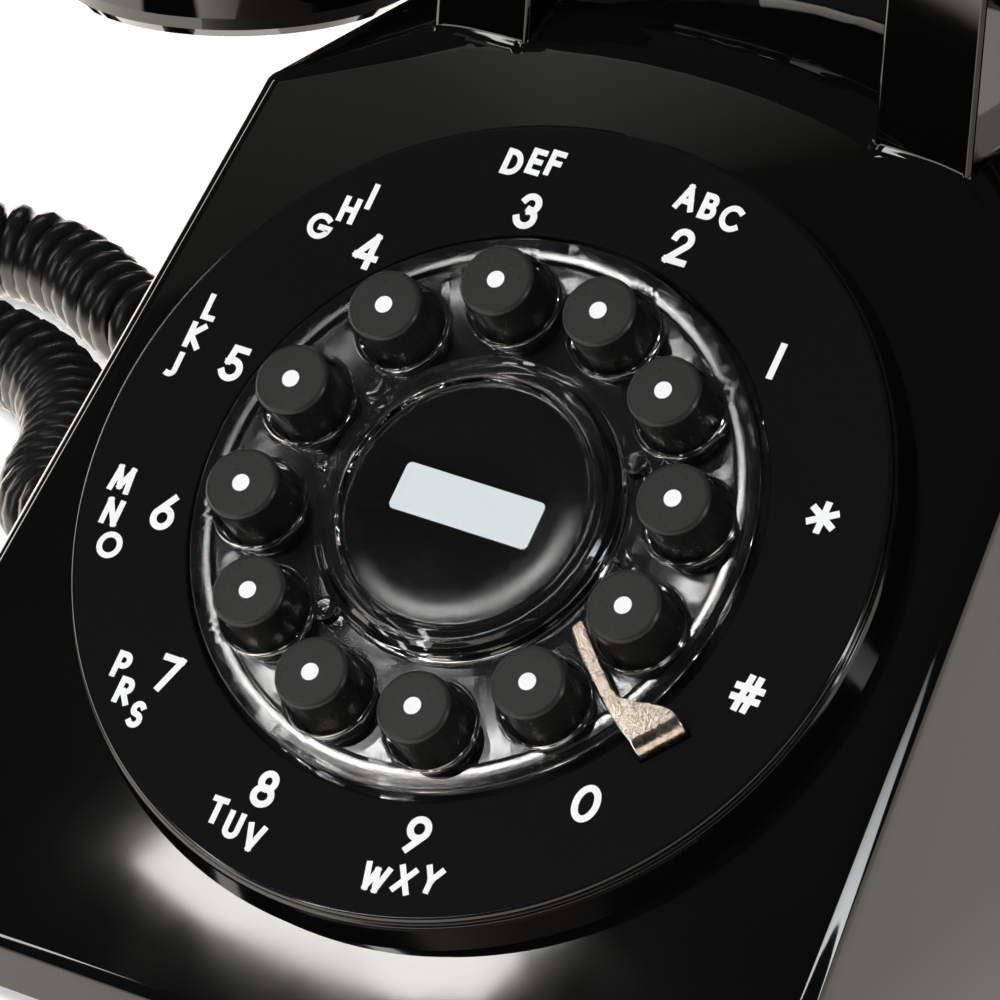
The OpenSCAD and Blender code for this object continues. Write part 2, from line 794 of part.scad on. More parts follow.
grip_stations = [
    [[neck_in - 22.5, handle_low], [neck_out - 77.5, handle_top + 0.4], handle_half],
    [[neck_in - 18.5, handle_low], [neck_out - 65.5, handle_top + 0.2], handle_half],
    [[neck_in - 14.5, handle_low], [neck_out - 53.5, handle_top - 0.3], handle_half + 0.4],
    [[neck_in - 10.5, handle_low - 0.2], [neck_out - 41.5, handle_top - 1.2], handle_half + 1.6],
    [[neck_in - 7, handle_low - 0.9], [neck_out - 30.5, handle_top - 3.2], neck_r - 7.9],
    [[neck_in - 4, handle_low - 2.1], [neck_out - 20.5, handle_top - 6.4], neck_r - 5.6],
    [[neck_in - 1.7, handle_low - 3.8], [neck_out - 11.9, handle_top - 11], neck_r - 3.5],
    [[neck_in - 0.2, handle_low - 6], [neck_out - 5.3, handle_top - 17], neck_r - 1.8],
    [[neck_in + 0.7, handle_low - 8.6], [neck_out - 0.9, handle_top - 24.6], neck_r - 0.6],
    [cup_xz(-neck_r, neck_low), cup_xz(neck_r, neck_low), neck_r]
];
station_count = len(grip_stations);
handle_sides = 24;

// How square a section is: 2 is an ellipse, and more squares its corners
function squareness(i) = 2 + 0.9 * max(0, 1 - i / 7);

function signed_pow(value, power) = sign(value) * pow(abs(value), power);

function handle_ring(station, side, i) =
    let (low = station[0], high = station[1], power = 2 / squareness(i))
    [for (step = [0 : handle_sides - 1])
        let (a = 360 * step / handle_sides,
             share = (1 + signed_pow(sin(a), power)) / 2,
             spot = low + (high - low) * share)
        [side * spot[0], cradle_y + station[2] * signed_pow(cos(a), power), spot[1]]];

module handle_form() {
    rings = concat(
        [for (i = [station_count - 1 : -1 : 0]) handle_ring(grip_stations[i], -1, i)],
        [for (i = [0 : station_count - 1]) handle_ring(grip_stations[i], 1, i)]
    );
    polyhedron(
        points = [for (ring = rings) each ring],
        faces = tube_faces(len(rings), handle_sides)
    );
}

socket_z = 19.2;
socket_out = cup_r - 1.8;

module handset_handle() {
    color("black") difference() {
        union() {
            handle_form();
            for (side = [-1, 1]) at_cup(side) translate([0, 0, cap_wall + fit])
                cylinder(r = cup_r, h = cap_height + 2 - cap_wall, $fn = 96);
        }
        for (side = [-1, 1]) at_cup(side) cylinder(r = cup_r - cup_wall, h = cap_wall + cup_floor);
        at_cup(1) translate([socket_out - jack_depth - fit, -jack_w / 2 - fit, socket_z - fit])
            cube([jack_depth + 5 * over, jack_w + 2 * fit, jack_h + 2 * fit]);
    }
}

module cap_shell() {
    rotate_extrude($fn = 96) polygon([
        [0, 0.8], [cap_r * 0.5, 0.4], [cap_r - 4, 0], [cap_r - 1.6, 0.5], [cap_r - 0.4, 1.8],
        [cap_r, 3.6], [cap_r, cap_height - 0.8], [cap_r - 0.8, cap_height],
        [cap_r - cap_wall, cap_height], [cap_r - cap_wall, cap_wall], [0, cap_wall]
    ]);
}

module sound_holes(rings) {
    for (ring = rings, step = [0 : ring[1] - 1]) rotate([0, 0, 360 * step / ring[1]])
        translate([ring[0], 0, -over]) cylinder(r = 1.1, h = cap_wall + 2 * over, $fn = 24);
}

module ear_cap() {
    color("black") at_cup(-1) difference() {
        cap_shell();
        sound_holes([[0, 1], [6, 6], [12, 12]]);
    }
}

module mouth_cap() {
    color("black") at_cup(1) difference() {
        cap_shell();
        sound_holes([[7, 6], [13, 12]]);
    }
}

capsule_r = cup_r - cup_wall - fit;

module receiver() {
    color("silver") at_cup(-1) translate([0, 0, cap_wall + 0.3]) rotate_extrude() polygon([
        [0, 0], [capsule_r, 0], [capsule_r, 3], [capsule_r - 5, 4], [capsule_r - 7, 9], [0, 9]
    ]);
}

module microphone() {
    color("gray") at_cup(1) translate([0, 0, cap_wall + 0.3]) rotate_extrude() polygon([
        [0, 0], [capsule_r, 0], [capsule_r, 2.4], [6, 2.4], [6, 7], [0, 7]
    ]);
}

module handset_socket() {
    color([0.15, 0.15, 0.15]) at_cup(1) translate([socket_out, 0, socket_z]) rotate([0, 0, 90])
        jack(jack_w, 8.1);
}

/* ---- Cord ---- */

plug_length = 14;
plug_gap = 0.4;
plug_tail = 1.5;

// A modular plug: its tail is at the origin and its nose points along +X
module plug() {
    color([0.2, 0.2, 0.2]) {
        translate([0, -3.85, -3.3]) cube([plug_length, 7.7, 6.6]);
        translate([-plug_tail, -2.6, -2.4]) cube([plug_tail + 0.01, 5.2, 4.8]);
    }
}

plug_middle = 1.2 + 7.2 / 2;
base_plug_tail = [handset_jack_x + socket_depth - plug_gap - plug_length, jack_y, board_top + plug_middle];

module base_plug() {
    translate(base_plug_tail) plug();
}

module handset_plug() {
    at_cup(1) translate([tail_out - plug_tail, 0, tail_up])
        rotate([0, 0, 180]) plug();
}

// The cord starts and ends just clear of the tails of the two plugs
tail_gap = 0.5;
tail_out = socket_out - socket_depth + plug_gap + plug_length + plug_tail;
tail_up = socket_z + plug_middle;
handset_end = [
    cup_xz(tail_out + tail_gap, tail_up)[0], cradle_y, cup_xz(tail_out + tail_gap, tail_up)[1]
];
base_end = base_plug_tail - [plug_tail + tail_gap, 0, 0];

// Route of the cord between its two plugs. It hangs from the handset, lies behind the
// housing, turns back on the left and comes to the jack in the left wall.
cord_route = [
    [128, 43, 110.9], [135, 47, 104], [137, 58, 90], [134, 72, 70], [128, 86, 48],
    [120, 98, 28], [109, 108, 14], [94, 113, 7.7], [75, 115, 7.7], [40, 117, 7.7], [0, 119, 7.7],
    [-40, 119, 7.7], [-72, 114, 7.7], [-96, 104, 7.7], [-116, 93, 7.7], [-131, 88, 7.7],
    [-142, 92, 7.7], [-153, 98, 7.7], [-165, 100, 7.7], [-177, 94, 7.7], [-185, 84, 7.7],
    [-180, 73, 7.7], [-163, 68, 7.7], [-145, 67, 7.7], [-131, 60, 7.7], [-120, 46, 7.7],
    [-114, 32, 7.7], [-107, 23, 9], [-97, 20, 13], [-87, 20, 16], [-79, 20, 17]
];
coil_first = 2;
coil_last = len(cord_route) - 3;
cord_sides = 8;
cord_splits = 2;

cord_points = concat([handset_end], cord_route, [base_end]);
last_point = len(cord_points) - 1;

function cord_at(i) = cord_points[max(0, min(last_point, i))];

// A smooth curve through the points, at share t between points i and i + 1
function cord_curve(i, t) =
    let (a = cord_at(i - 1), b = cord_at(i), c = cord_at(i + 1), d = cord_at(i + 2))
    b + (c - a) * t / 2 + (2 * a - 5 * b + 4 * c - d) * t * t / 2
    + (3 * b - a - 3 * c + d) * t * t * t / 2;

cord_line = concat(
    [for (i = [0 : last_point - 1], split = [0 : cord_splits - 1]) cord_curve(i, split / cord_splits)],
    [base_end]
);
cord_last = len(cord_line) - 1;

function cord_r(ring) =
    let (i = ring / cord_splits)
    i >= coil_first + 0.5 && i <= coil_last + 1.5 ? coil_d / 2 : lead_d / 2;

function cord_ring(ring) =
    let (ahead = cord_line[min(cord_last, ring + 1)] - cord_line[max(0, ring - 1)],
         along = ahead / norm(ahead),
         side = cross([0, 0, 1], along) / norm(cross([0, 0, 1], along)),
         up = cross(along, side),
         r = cord_r(ring))
    [for (step = [0 : cord_sides - 1])
        let (a = 360 * (step + 0.5) / cord_sides)
        cord_line[ring] + r * (cos(a) * side + sin(a) * up)];

module handset_cord() {
    color([0.1, 0.1, 0.1]) polyhedron(
        points = [for (ring = [0 : cord_last]) each cord_ring(ring)],
        faces = tube_faces(cord_last + 1, cord_sides)
    );
}

housing();
base_plate();
rubber_feet();
base_screws();
number_plate();
finger_wheel();
centre_disc();
number_card();
card_lens();
finger_stop();
key(0);  // key_1
key(1);  // key_2
key(2);  // key_3
key(3);  // key_4
key(4);  // key_5
key(5);  // key_6
key(6);  // key_7
key(7);  // key_8
key(8);  // key_9
key(9);  // key_0
key(10);  // key_hash
key(11);  // key_star
key_mat();
keypad_board();
keypad_screws();
main_board();
main_board_screws();
line_jack();
handset_jack();
slide_switch(ringer_x);  // ringer_switch
slide_knob(ringer_x);  // ringer_knob
slide_switch(tone_x);  // tone_switch
slide_knob(tone_x);  // tone_knob
hook_bracket();
bracket_screws();
hook_bar();
hook_spring();
hook_switch();
ringer();
handset_handle();
ear_cap();
mouth_cap();
receiver();
microphone();
handset_socket();
handset_cord();
base_plug();
handset_plug();
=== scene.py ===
import json
import math

import bmesh
import bpy
from mathutils import Matrix, Vector
from mathutils.bvhtree import BVHTree


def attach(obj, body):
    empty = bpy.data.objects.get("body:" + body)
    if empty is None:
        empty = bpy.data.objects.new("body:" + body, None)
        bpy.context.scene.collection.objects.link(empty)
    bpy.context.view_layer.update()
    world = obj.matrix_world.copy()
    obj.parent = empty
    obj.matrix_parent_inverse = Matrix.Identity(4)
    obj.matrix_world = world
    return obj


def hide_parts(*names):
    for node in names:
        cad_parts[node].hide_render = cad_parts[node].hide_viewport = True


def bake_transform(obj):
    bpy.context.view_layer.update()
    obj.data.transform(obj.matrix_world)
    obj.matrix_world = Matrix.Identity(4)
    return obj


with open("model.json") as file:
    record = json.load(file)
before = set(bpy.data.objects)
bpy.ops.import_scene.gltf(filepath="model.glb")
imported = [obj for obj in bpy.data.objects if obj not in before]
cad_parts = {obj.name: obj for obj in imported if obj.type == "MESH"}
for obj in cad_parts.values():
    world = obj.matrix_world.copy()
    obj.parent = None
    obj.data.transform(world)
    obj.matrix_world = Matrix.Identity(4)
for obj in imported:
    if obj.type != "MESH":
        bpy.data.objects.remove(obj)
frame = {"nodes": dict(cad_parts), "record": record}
bpy.context.scene.view_settings.view_transform = "Standard"
bpy.context.scene.cycles.sample_clamp_indirect = 40  # keeps the bright cards bright in the clear wheel
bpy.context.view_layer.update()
mm = 0.001
print("frame loaded")

cameraSpot = {
    "place": (0.4863, -0.8829, 0.5259),
    "target": (0.0024, -0.0389, 0.0671),
    "roll": 3.85,
    "lens": 298.8,
    "sensor": 36,
    "pixels": 1000,
}


def makeCamera(spot):
    data = bpy.data.cameras.new("camera")
    data.lens = spot["lens"]
    data.sensor_width = spot["sensor"]
    data.clip_start = 0.01
    data.clip_end = 50
    camera = bpy.data.objects.new("camera", data)
    bpy.context.scene.collection.objects.link(camera)
    look = Vector(spot["target"]) - Vector(spot["place"])
    turn = look.to_track_quat("-Z", "Y").to_matrix().to_4x4()
    camera.matrix_world = (
        Matrix.Translation(spot["place"]) @ turn @ Matrix.Rotation(math.radians(spot["roll"]), 4, "Z")
    )
    bpy.context.scene.camera = camera
    return camera


camera = makeCamera(cameraSpot)

dial = {"y": -41, "height": 65, "tilt": 45, "faceDepth": -6.6}
dialFrame = (
    Matrix.Translation((0, dial["y"] * mm, dial["height"] * mm))
    @ Matrix.Rotation(math.radians(dial["tilt"]), 4, "X")
    @ Matrix.Scale(mm, 4)
)
plainFrame = Matrix.Scale(mm, 4)


def addObject(name, mesh, angle=35):
    mesh.shade_smooth()
    mesh.set_sharp_from_angle(angle=math.radians(angle))
    thing = bpy.data.objects.new(name, mesh)
    bpy.context.scene.collection.objects.link(thing)
    return thing


def meshFrom(name, points, faces, place=plainFrame):
    mesh = bpy.data.meshes.new(name)
    mesh.from_pydata([tuple(p) for p in points], [], faces)
    mesh.transform(place)
    shape = bmesh.new()
    shape.from_mesh(mesh)
    bmesh.ops.recalc_face_normals(shape, faces=shape.faces)
    shape.to_mesh(mesh)
    shape.free()
    return mesh


# Turns corners (x, y, radius) into an outline with arcs
def rounded(corners, steps=5):
    outline = []
    count = len(corners)
    for i, corner in enumerate(corners):
        here = Vector(corner[:2])
        radius = corner[2] if len(corner) > 2 else 0
        before = Vector(corners[i - 1][:2]) - here
        after = Vector(corners[(i + 1) % count][:2]) - here
        flat = radius <= 0 or before.length == 0 or after.length == 0
        half = 0 if flat else before.angle(after) / 2
        if flat or half > math.radians(89.5):
            outline.append((here.x, here.y))
            continue
        reach = min(radius / math.tan(half), before.length * 0.49, after.length * 0.49)
        radius = reach * math.tan(half)
        centre = here + (before.normalized() + after.normalized()).normalized() * (radius / math.sin(half))
        start = here + before.normalized() * reach - centre
        end = here + after.normalized() * reach - centre
        sweep = start.angle_signed(end)
        for step in range(steps + 1):
            angle = -sweep * step / steps
            outline.append(tuple(centre + Matrix.Rotation(angle, 2) @ start))
    return outline


def arc(x, y, rx, ry, start, end, steps=14):
    turns = [math.radians(start + (end - start) * t / steps) for t in range(steps + 1)]
    return [(x + rx * math.cos(turn), y + ry * math.sin(turn)) for turn in turns]


def polar(radius, degrees):
    return Vector((radius * math.cos(math.radians(degrees)), radius * math.sin(math.radians(degrees)), 0))


def revolve(name, profile, place=dialFrame, sides=192):
    points = []
    rings = []
    for r, z in profile:
        if r < 1e-6:
            rings.append([len(points)])
            points.append((0, 0, z))
            continue
        rings.append(list(range(len(points), len(points) + sides)))
        points += [
            (r * math.cos(math.tau * s / sides), r * math.sin(math.tau * s / sides), z)
            for s in range(sides)
        ]
    faces = []
    for i, ring in enumerate(rings):
        other = rings[(i + 1) % len(rings)]
        if len(ring) == 1 and len(other) == 1:
            continue
        for s in range(sides):
            t = (s + 1) % sides
            if len(ring) == 1:
                faces.append((ring[0], other[s], other[t]))
            elif len(other) == 1:
                faces.append((ring[s], ring[t], other[0]))
            else:
                faces.append((ring[s], ring[t], other[t], other[s]))
    return meshFrom(name, points, faces, place)


def prism(name, outline, low, high, place=dialFrame):
    count = len(outline)
    points = [(x, y, low) for x, y in outline] + [(x, y, high) for x, y in outline]
    faces = [list(range(count - 1, -1, -1)), list(range(count, 2 * count))]
    faces += [(i, (i + 1) % count, count + (i + 1) % count, count + i) for i in range(count)]
    return meshFrom(name, points, faces, place)


def loft(name, rings, place=plainFrame, closed=True):
    count = len(rings[0])
    points = [p for ring in rings for p in ring]
    faces = []
    for first in range(0, len(points) - count, count):
        for s in range(count):
            t = (s + 1) % count
            faces.append((first + s, first + t, first + count + t, first + count + s))
    if closed:
        faces += [list(range(count)), list(range(len(points) - 1, len(points) - count - 1, -1))]
    return meshFrom(name, points, faces, place)


def applyModifiers(thing):
    view = bpy.context.evaluated_depsgraph_get()
    mesh = bpy.data.meshes.new_from_object(thing.evaluated_get(view))
    thing.modifiers.clear()
    thing.data = mesh


def combine(thing, other, operation):
    cut = thing.modifiers.new("boolean", "BOOLEAN")
    cut.solver = "MANIFOLD"
    cut.operation = operation
    cut.object = other
    bpy.context.view_layer.update()
    applyModifiers(thing)
    bpy.data.objects.remove(other)


def weld(thing, other):
    combine(thing, other, "UNION")


def carve(thing, other):
    combine(thing, other, "DIFFERENCE")


def weightNormals(thing, angle=None):
    if angle:
        thing.data.set_sharp_from_angle(angle=math.radians(angle))
    thing.modifiers.new("weightedNormal", "WEIGHTED_NORMAL").keep_sharp = True
    bpy.context.view_layer.update()
    applyModifiers(thing)


def joinMeshes(name, meshes):
    shape = bmesh.new()
    for mesh in meshes:
        shape.from_mesh(mesh)
    joined = bpy.data.meshes.new(name)
    shape.to_mesh(joined)
    shape.free()
    return joined


cord = {
    "wire": 4.0,
    "coil": 15,
    "pitch": 4.15,
    "stepsPerTurn": 16,
    "sides": 10,
    "handsetEnd": (0.1201, 0.043, 0.1116),
    "baseEnd": (-0.0723, 0.020, 0.0165),
    "coilStart": 2.5,
    "coilEnd": 29.5,
    "knotSteps": 40,
    "rampTurns": 1.6,
    "straightStep": 4,
}
cordRoute = [
    (0.128, 0.043, 0.1109), (0.135, 0.047, 0.104), (0.137, 0.058, 0.090), (0.134, 0.072, 0.070),
    (0.128, 0.086, 0.048), (0.120, 0.098, 0.028), (0.109, 0.108, 0.014), (0.094, 0.113, 0.0077),
    (0.075, 0.115, 0.0077), (0.040, 0.117, 0.0077), (0.000, 0.119, 0.0077), (-0.040, 0.119, 0.0077),
    (-0.072, 0.114, 0.0077), (-0.096, 0.104, 0.0077), (-0.116, 0.093, 0.0077), (-0.131, 0.088, 0.0077),
    (-0.142, 0.092, 0.0077), (-0.153, 0.098, 0.0077), (-0.165, 0.100, 0.0077), (-0.177, 0.094, 0.0077),
    (-0.185, 0.084, 0.0077), (-0.180, 0.073, 0.0077), (-0.163, 0.068, 0.0077), (-0.145, 0.067, 0.0077),
    (-0.131, 0.060, 0.0077), (-0.120, 0.046, 0.0077), (-0.114, 0.032, 0.0077), (-0.107, 0.023, 0.009),
    (-0.097, 0.020, 0.013), (-0.087, 0.020, 0.016), (-0.079, 0.020, 0.017),
]


def curvePoint(points, at):
    i = min(int(at), len(points) - 2)
    t = at - i
    a, b, c, d = (points[max(0, min(len(points) - 1, k))] for k in (i - 1, i, i + 1, i + 2))
    slope, bend, twist = c - a, 2 * a - 5 * b + 4 * c - d, 3 * b - a - 3 * c + d
    return b + slope * (t / 2) + bend * (t * t / 2) + twist * (t ** 3 / 2)


def easeInOut(t):
    t = max(0, min(1, t))
    return t * t * (3 - 2 * t)


# The wire's own line: straight ends, and a helix round the route between them
def cordCentreline():
    knots = [Vector(cord["handsetEnd"])] + [Vector(p) for p in cordRoute] + [Vector(cord["baseEnd"])]
    steps = cord["knotSteps"]
    fine = [curvePoint(knots, i / steps) for i in range(steps * (len(knots) - 1) + 1)]
    spans = [0]
    for a, b in zip(fine, fine[1:]):
        spans.append(spans[-1] + (b - a).length)
    start, end = (spans[int(cord[key] * steps)] for key in ("coilStart", "coilEnd"))
    step = cord["pitch"] * mm / cord["stepsPerTurn"]
    radius = (cord["coil"] - cord["wire"]) / 2 * mm
    ramp = cord["rampTurns"] * cord["pitch"] * mm
    side = Vector((0, 0, 1))
    line = []
    distance = i = angle = 0
    while distance < spans[-1]:
        while i < len(spans) - 2 and spans[i + 1] < distance:
            i += 1
        along = (fine[i + 1] - fine[i]).normalized()
        here = fine[i].lerp(fine[i + 1], (distance - spans[i]) / (spans[i + 1] - spans[i]))
        side = (side - along * side.dot(along)).normalized()
        swell = min(easeInOut((distance - start) / ramp), easeInOut((end - distance) / ramp))
        if start < distance < end:
            angle += math.tau / cord["stepsPerTurn"]
            out = side * math.cos(angle) + along.cross(side) * math.sin(angle)
            line.append(here + out * radius * swell)
            distance += step
        else:
            line.append(here)
            distance += cord["straightStep"] * step
    line.append(fine[-1])
    return line


def tubeAlong(name, line, radius, sides):
    rings = []
    side = Vector((0, 0, 1))
    for i, point in enumerate(line):
        along = (line[min(i + 1, len(line) - 1)] - line[max(i - 1, 0)]).normalized()
        side = (side - along * side.dot(along)).normalized()
        up = along.cross(side)
        rings.append([
            point + (side * math.cos(math.tau * s / sides) + up * math.sin(math.tau * s / sides)) * radius
            for s in range(sides)
        ])
    return loft(name, rings, Matrix.Identity(4))


cordLine = cordCentreline()
cordTube = tubeAlong("coiledCord", cordLine, cord["wire"] / 2 * mm, cord["sides"])
handsetCord = addObject("coiledCord", cordTube, 80)
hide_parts("handset_cord")
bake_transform(handsetCord)


def addNode(tree, kind, values=None, operation=None):
    node = tree.nodes.new("ShaderNode" + kind)
    if operation:
        node.operation = operation
    setSockets(node, values or {})
    return node


def setSockets(node, values):
    for socket, value in values.items():
        node.inputs[socket].default_value = value


def link(node, output, other, socket):
    node.id_data.links.new(node.outputs[output], other.inputs[socket])


def emptyMaterial(name):
    material = bpy.data.materials.new(name)
    material.use_nodes = True
    material.node_tree.nodes.clear()
    return material


def eitherRay(path, first, second):
    either = addNode(path.id_data, "Math", operation="MAXIMUM")
    link(path, first, either, 0)
    link(path, second, either, 1)
    return either


def makeMaterial(name, color, rough, metallic=0, roughSpread=0.0, grain=300, bump=0.0, bumpGrain=900,
                 tint=0.0, specular=0.5):
    material = bpy.data.materials.new(name)
    material.use_nodes = True
    tree = material.node_tree
    shader = tree.nodes["Principled BSDF"]
    setSockets(shader, {
        "Base Color": (*color, 1), "Roughness": rough, "Metallic": metallic, "Specular IOR Level": specular,
    })
    place = addNode(tree, "TexCoord")
    patches = addNode(tree, "TexNoise", {"Scale": grain, "Detail": 4})
    link(place, "Object", patches, "Vector")
    spread = addNode(tree, "MapRange", {
        "From Min": 0.3, "From Max": 0.7,
        "To Min": max(0, rough - roughSpread), "To Max": rough + roughSpread,
    })
    link(patches, "Fac", spread, "Value")
    link(spread, "Result", shader, "Roughness")
    if tint:
        ramp = addNode(tree, "ValToRGB")
        for stop, position, change in zip(ramp.color_ramp.elements, (0.35, 0.65), (1 - tint, 1 + tint)):
            stop.position = position
            stop.color = (*(min(1, c * change) for c in color), 1)
        link(patches, "Fac", ramp, "Fac")
        link(ramp, "Color", shader, "Base Color")
    if bump:
        grains = addNode(tree, "TexNoise", {"Scale": bumpGrain, "Detail": 3})
        relief = addNode(tree, "Bump", {"Strength": bump, "Distance": 0.0001})
        link(place, "Object", grains, "Vector")
        link(grains, "Fac", relief, "Height")
        link(relief, "Normal", shader, "Normal")
    return material


# Clear to shadow and diffuse rays, so that what lies under it is lit as in the open
def makeClear(name, color, rough, ior):
    material = emptyMaterial(name)
    tree = material.node_tree
    glass = addNode(tree, "BsdfGlass", {"Color": (*color, 1), "IOR": ior})
    place = addNode(tree, "TexCoord")
    haze = addNode(tree, "TexNoise", {"Scale": 140})
    spread = addNode(tree, "MapRange", {"To Min": rough * 0.5, "To Max": rough * 1.5})
    link(place, "Object", haze, "Vector")
    link(haze, "Fac", spread, "Value")
    link(spread, "Result", glass, "Roughness")
    through = addNode(tree, "BsdfTransparent")
    path = addNode(tree, "LightPath")
    mix = addNode(tree, "MixShader")
    link(eitherRay(path, "Is Shadow Ray", "Is Diffuse Ray"), "Value", mix, "Fac")
    link(glass, "BSDF", mix, 1)
    link(through, "BSDF", mix, 2)
    link(mix, "Shader", addNode(tree, "OutputMaterial"), "Surface")
    return material


looks = {
    "black_gloss": makeMaterial("shellBlack", (0.0022, 0.0022, 0.002), 0.035, roughSpread=0.01, grain=60),
    "ring": makeMaterial(
        "ringBlack", (0.0045, 0.0045, 0.005), 0.4, roughSpread=0.03, grain=2400, bump=0.1, bumpGrain=4200,
        specular=0.04
    ),
    "rim": makeMaterial("rimBlack", (0.004, 0.004, 0.004), 0.08, roughSpread=0.02, grain=400),
    "disc": makeMaterial("discBlack", (0.002, 0.002, 0.002), 0.3, roughSpread=0.03, grain=900, specular=0.01),
    "key_black": makeMaterial(
        "keyBlack", (0.022, 0.022, 0.021), 0.3, roughSpread=0.04, grain=2500, bump=0.1, bumpGrain=4000,
        specular=0.25
    ),
    "dark_matte": makeMaterial(
        "mattBlack", (0.02, 0.02, 0.021), 0.5, roughSpread=0.06, grain=400, bump=0.25, bumpGrain=1800
    ),
    "rubber": makeMaterial("footRubber", (0.02, 0.02, 0.02), 0.65, roughSpread=0.08, grain=500, bump=0.3),
    "grey_rubber": makeMaterial("matRubber", (0.3, 0.3, 0.31), 0.6, roughSpread=0.06, tint=0.06, bump=0.2),
    "steel": makeMaterial(
        "zincSteel", (0.6, 0.6, 0.62), 0.3, metallic=1, roughSpread=0.08, grain=700, tint=0.05
    ),
    "white_card": makeMaterial(
        "paperCard", (0.72, 0.77, 0.8), 0.5, roughSpread=0.05, tint=0.015, grain=900, bump=0.1
    ),
    "nickel": makeMaterial(
        "warmNickel", (0.62, 0.53, 0.45), 0.2, metallic=1, roughSpread=0.1, grain=900, tint=0.25, bump=0.35,
        bumpGrain=2200
    ),
    "board_green": makeMaterial("boardGreen", (0.02, 0.11, 0.05), 0.35, roughSpread=0.05, tint=0.15),
    "zinc_metal": makeMaterial(
        "zincSheet", (0.42, 0.43, 0.45), 0.35, metallic=1, roughSpread=0.1, grain=200, tint=0.12
    ),
    "aluminium": makeMaterial(
        "satinAluminium", (0.6, 0.6, 0.62), 0.35, metallic=1, roughSpread=0.06, grain=800, tint=0.04
    ),
    "cord_black": makeMaterial("cordVinyl", (0.006, 0.006, 0.006), 0.3, roughSpread=0.05, grain=400),
    "plug_dark": makeMaterial("plugPlastic", (0.02, 0.02, 0.022), 0.12, roughSpread=0.03, grain=300),
    "clear": makeClear("clearAcrylic", (0.99, 0.995, 1.0), 0.03, 1.49),
    "print": makeMaterial("whitePrint", (0.9, 0.91, 0.92), 0.35, roughSpread=0.05, grain=900, tint=0.02),
}


# Rows of parts that keep their own meshes get a finish from the record's slot
slotOf = {part["node"]: part["material_slot"] for part in frame["record"]["subparts"]}
for nodeName, node in frame["nodes"].items():
    node.data.materials.clear()
    node.data.materials.append(looks[slotOf[nodeName]])


def finishPiece(thing, look, body="base", nodes=()):
    thing.data.materials.clear()
    thing.data.materials.append(looks[look])
    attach(thing, body)
    if nodes:
        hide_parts(*nodes)


handsetCord.data.materials.append(looks["cord_black"])

keyNames = ["1", "2", "3", "4", "5", "6", "7", "8", "9", "0", "hash", "star"]
keys = {
    "radius": 5.1, "pitch": 30, "first": 45, "step": 30, "top": 8, "foot": -10.6, "flange": -6.9,
    "flangeThickness": 1.2, "shell": 1.2, "roof": 2, "stem": 2, "edge": 0.7, "dot": 1.2, "dotEdge": 0.25,
    "dotRise": 0.03, "flangeOver": 1, "clearance": 0.1,
}


def atKey(index):
    return polar(keys["pitch"], keys["first"] + keys["step"] * index)


# A turned solid at a spot on the dial
def turnedAt(spot, name, profile, sides):
    return addObject(name, revolve(name, profile, dialFrame @ Matrix.Translation(spot), sides))


def secondLook(thing, look, centre, inside):
    thing.data.materials.append(looks[look])
    for face in thing.data.polygons:
        if inside((face.center - centre).length / mm):
            face.material_index = 1


def makeKey(index):
    r, top, flange = keys["radius"], keys["top"], keys["flange"]
    under, over = flange - keys["flangeThickness"], r + keys["flangeOver"]
    profile = rounded([
        (0, keys["foot"]), (keys["stem"], keys["foot"]), (keys["stem"], top - keys["roof"]),
        (r - keys["shell"], top - keys["roof"]), (r - keys["shell"], under), (over, under),
        (over, flange), (r, flange), (r, top, keys["edge"]), (keys["dot"] + keys["dotEdge"], top),
        (keys["dot"], top + keys["dotRise"]), (0, top + keys["dotRise"]),
    ], 6)
    place = dialFrame @ Matrix.Translation(atKey(index))
    thing = addObject("key" + keyNames[index].capitalize(), revolve("key", profile, place, 64), 40)
    weightNormals(thing)
    finishPiece(thing, "key_black", "key_" + keyNames[index], ["key_" + keyNames[index]])
    secondLook(thing, "print", place @ Vector((0, 0, top)), lambda away: away < keys["dot"])


for keyIndex in range(len(keyNames)):
    makeKey(keyIndex)
print("keys")

plate = {
    "radius": 56.4, "flare": 1.4, "well": 40, "wellDepth": 4.5, "wall": 2.1, "edge": 0.8, "step": 0.35,
    "studs": 50, "studRadius": 2, "studFoot": -12.1, "studTop": 0.5, "face": -6.6, "ledge": -1.4,
    "ledgeTop": -1.2, "ledgeEdge": 0.2, "holeFlare": 0.6, "slotGap": 0.2,
}
stop = {
    "turn": -42, "reach": 43.6, "metal": 0.9, "top": 2.6, "side": 6.4, "width": 7,
    "bend": 2.2, "bendSteps": 10, "foot": -6.3, "edge": 0.28,
    "stations": [
        (22.8, 5.95, 7.35), (23.2, 5.6, 7.6), (26, 5.3, 7.4), (30, 5.25, 7.3), (33.5, 5.3, 7.4),
        (35.2, 5.4, 7.85), (36.6, 5.5, 9.0), (37.8, 5.7, 10.6), (39, 5.9, 12.0), (40.2, 6.1, 13.0),
        (41.4, 6.4, 13.4),
    ],
}

stopFrame = dialFrame @ Matrix.Rotation(math.radians(stop["turn"]), 4, "Z")


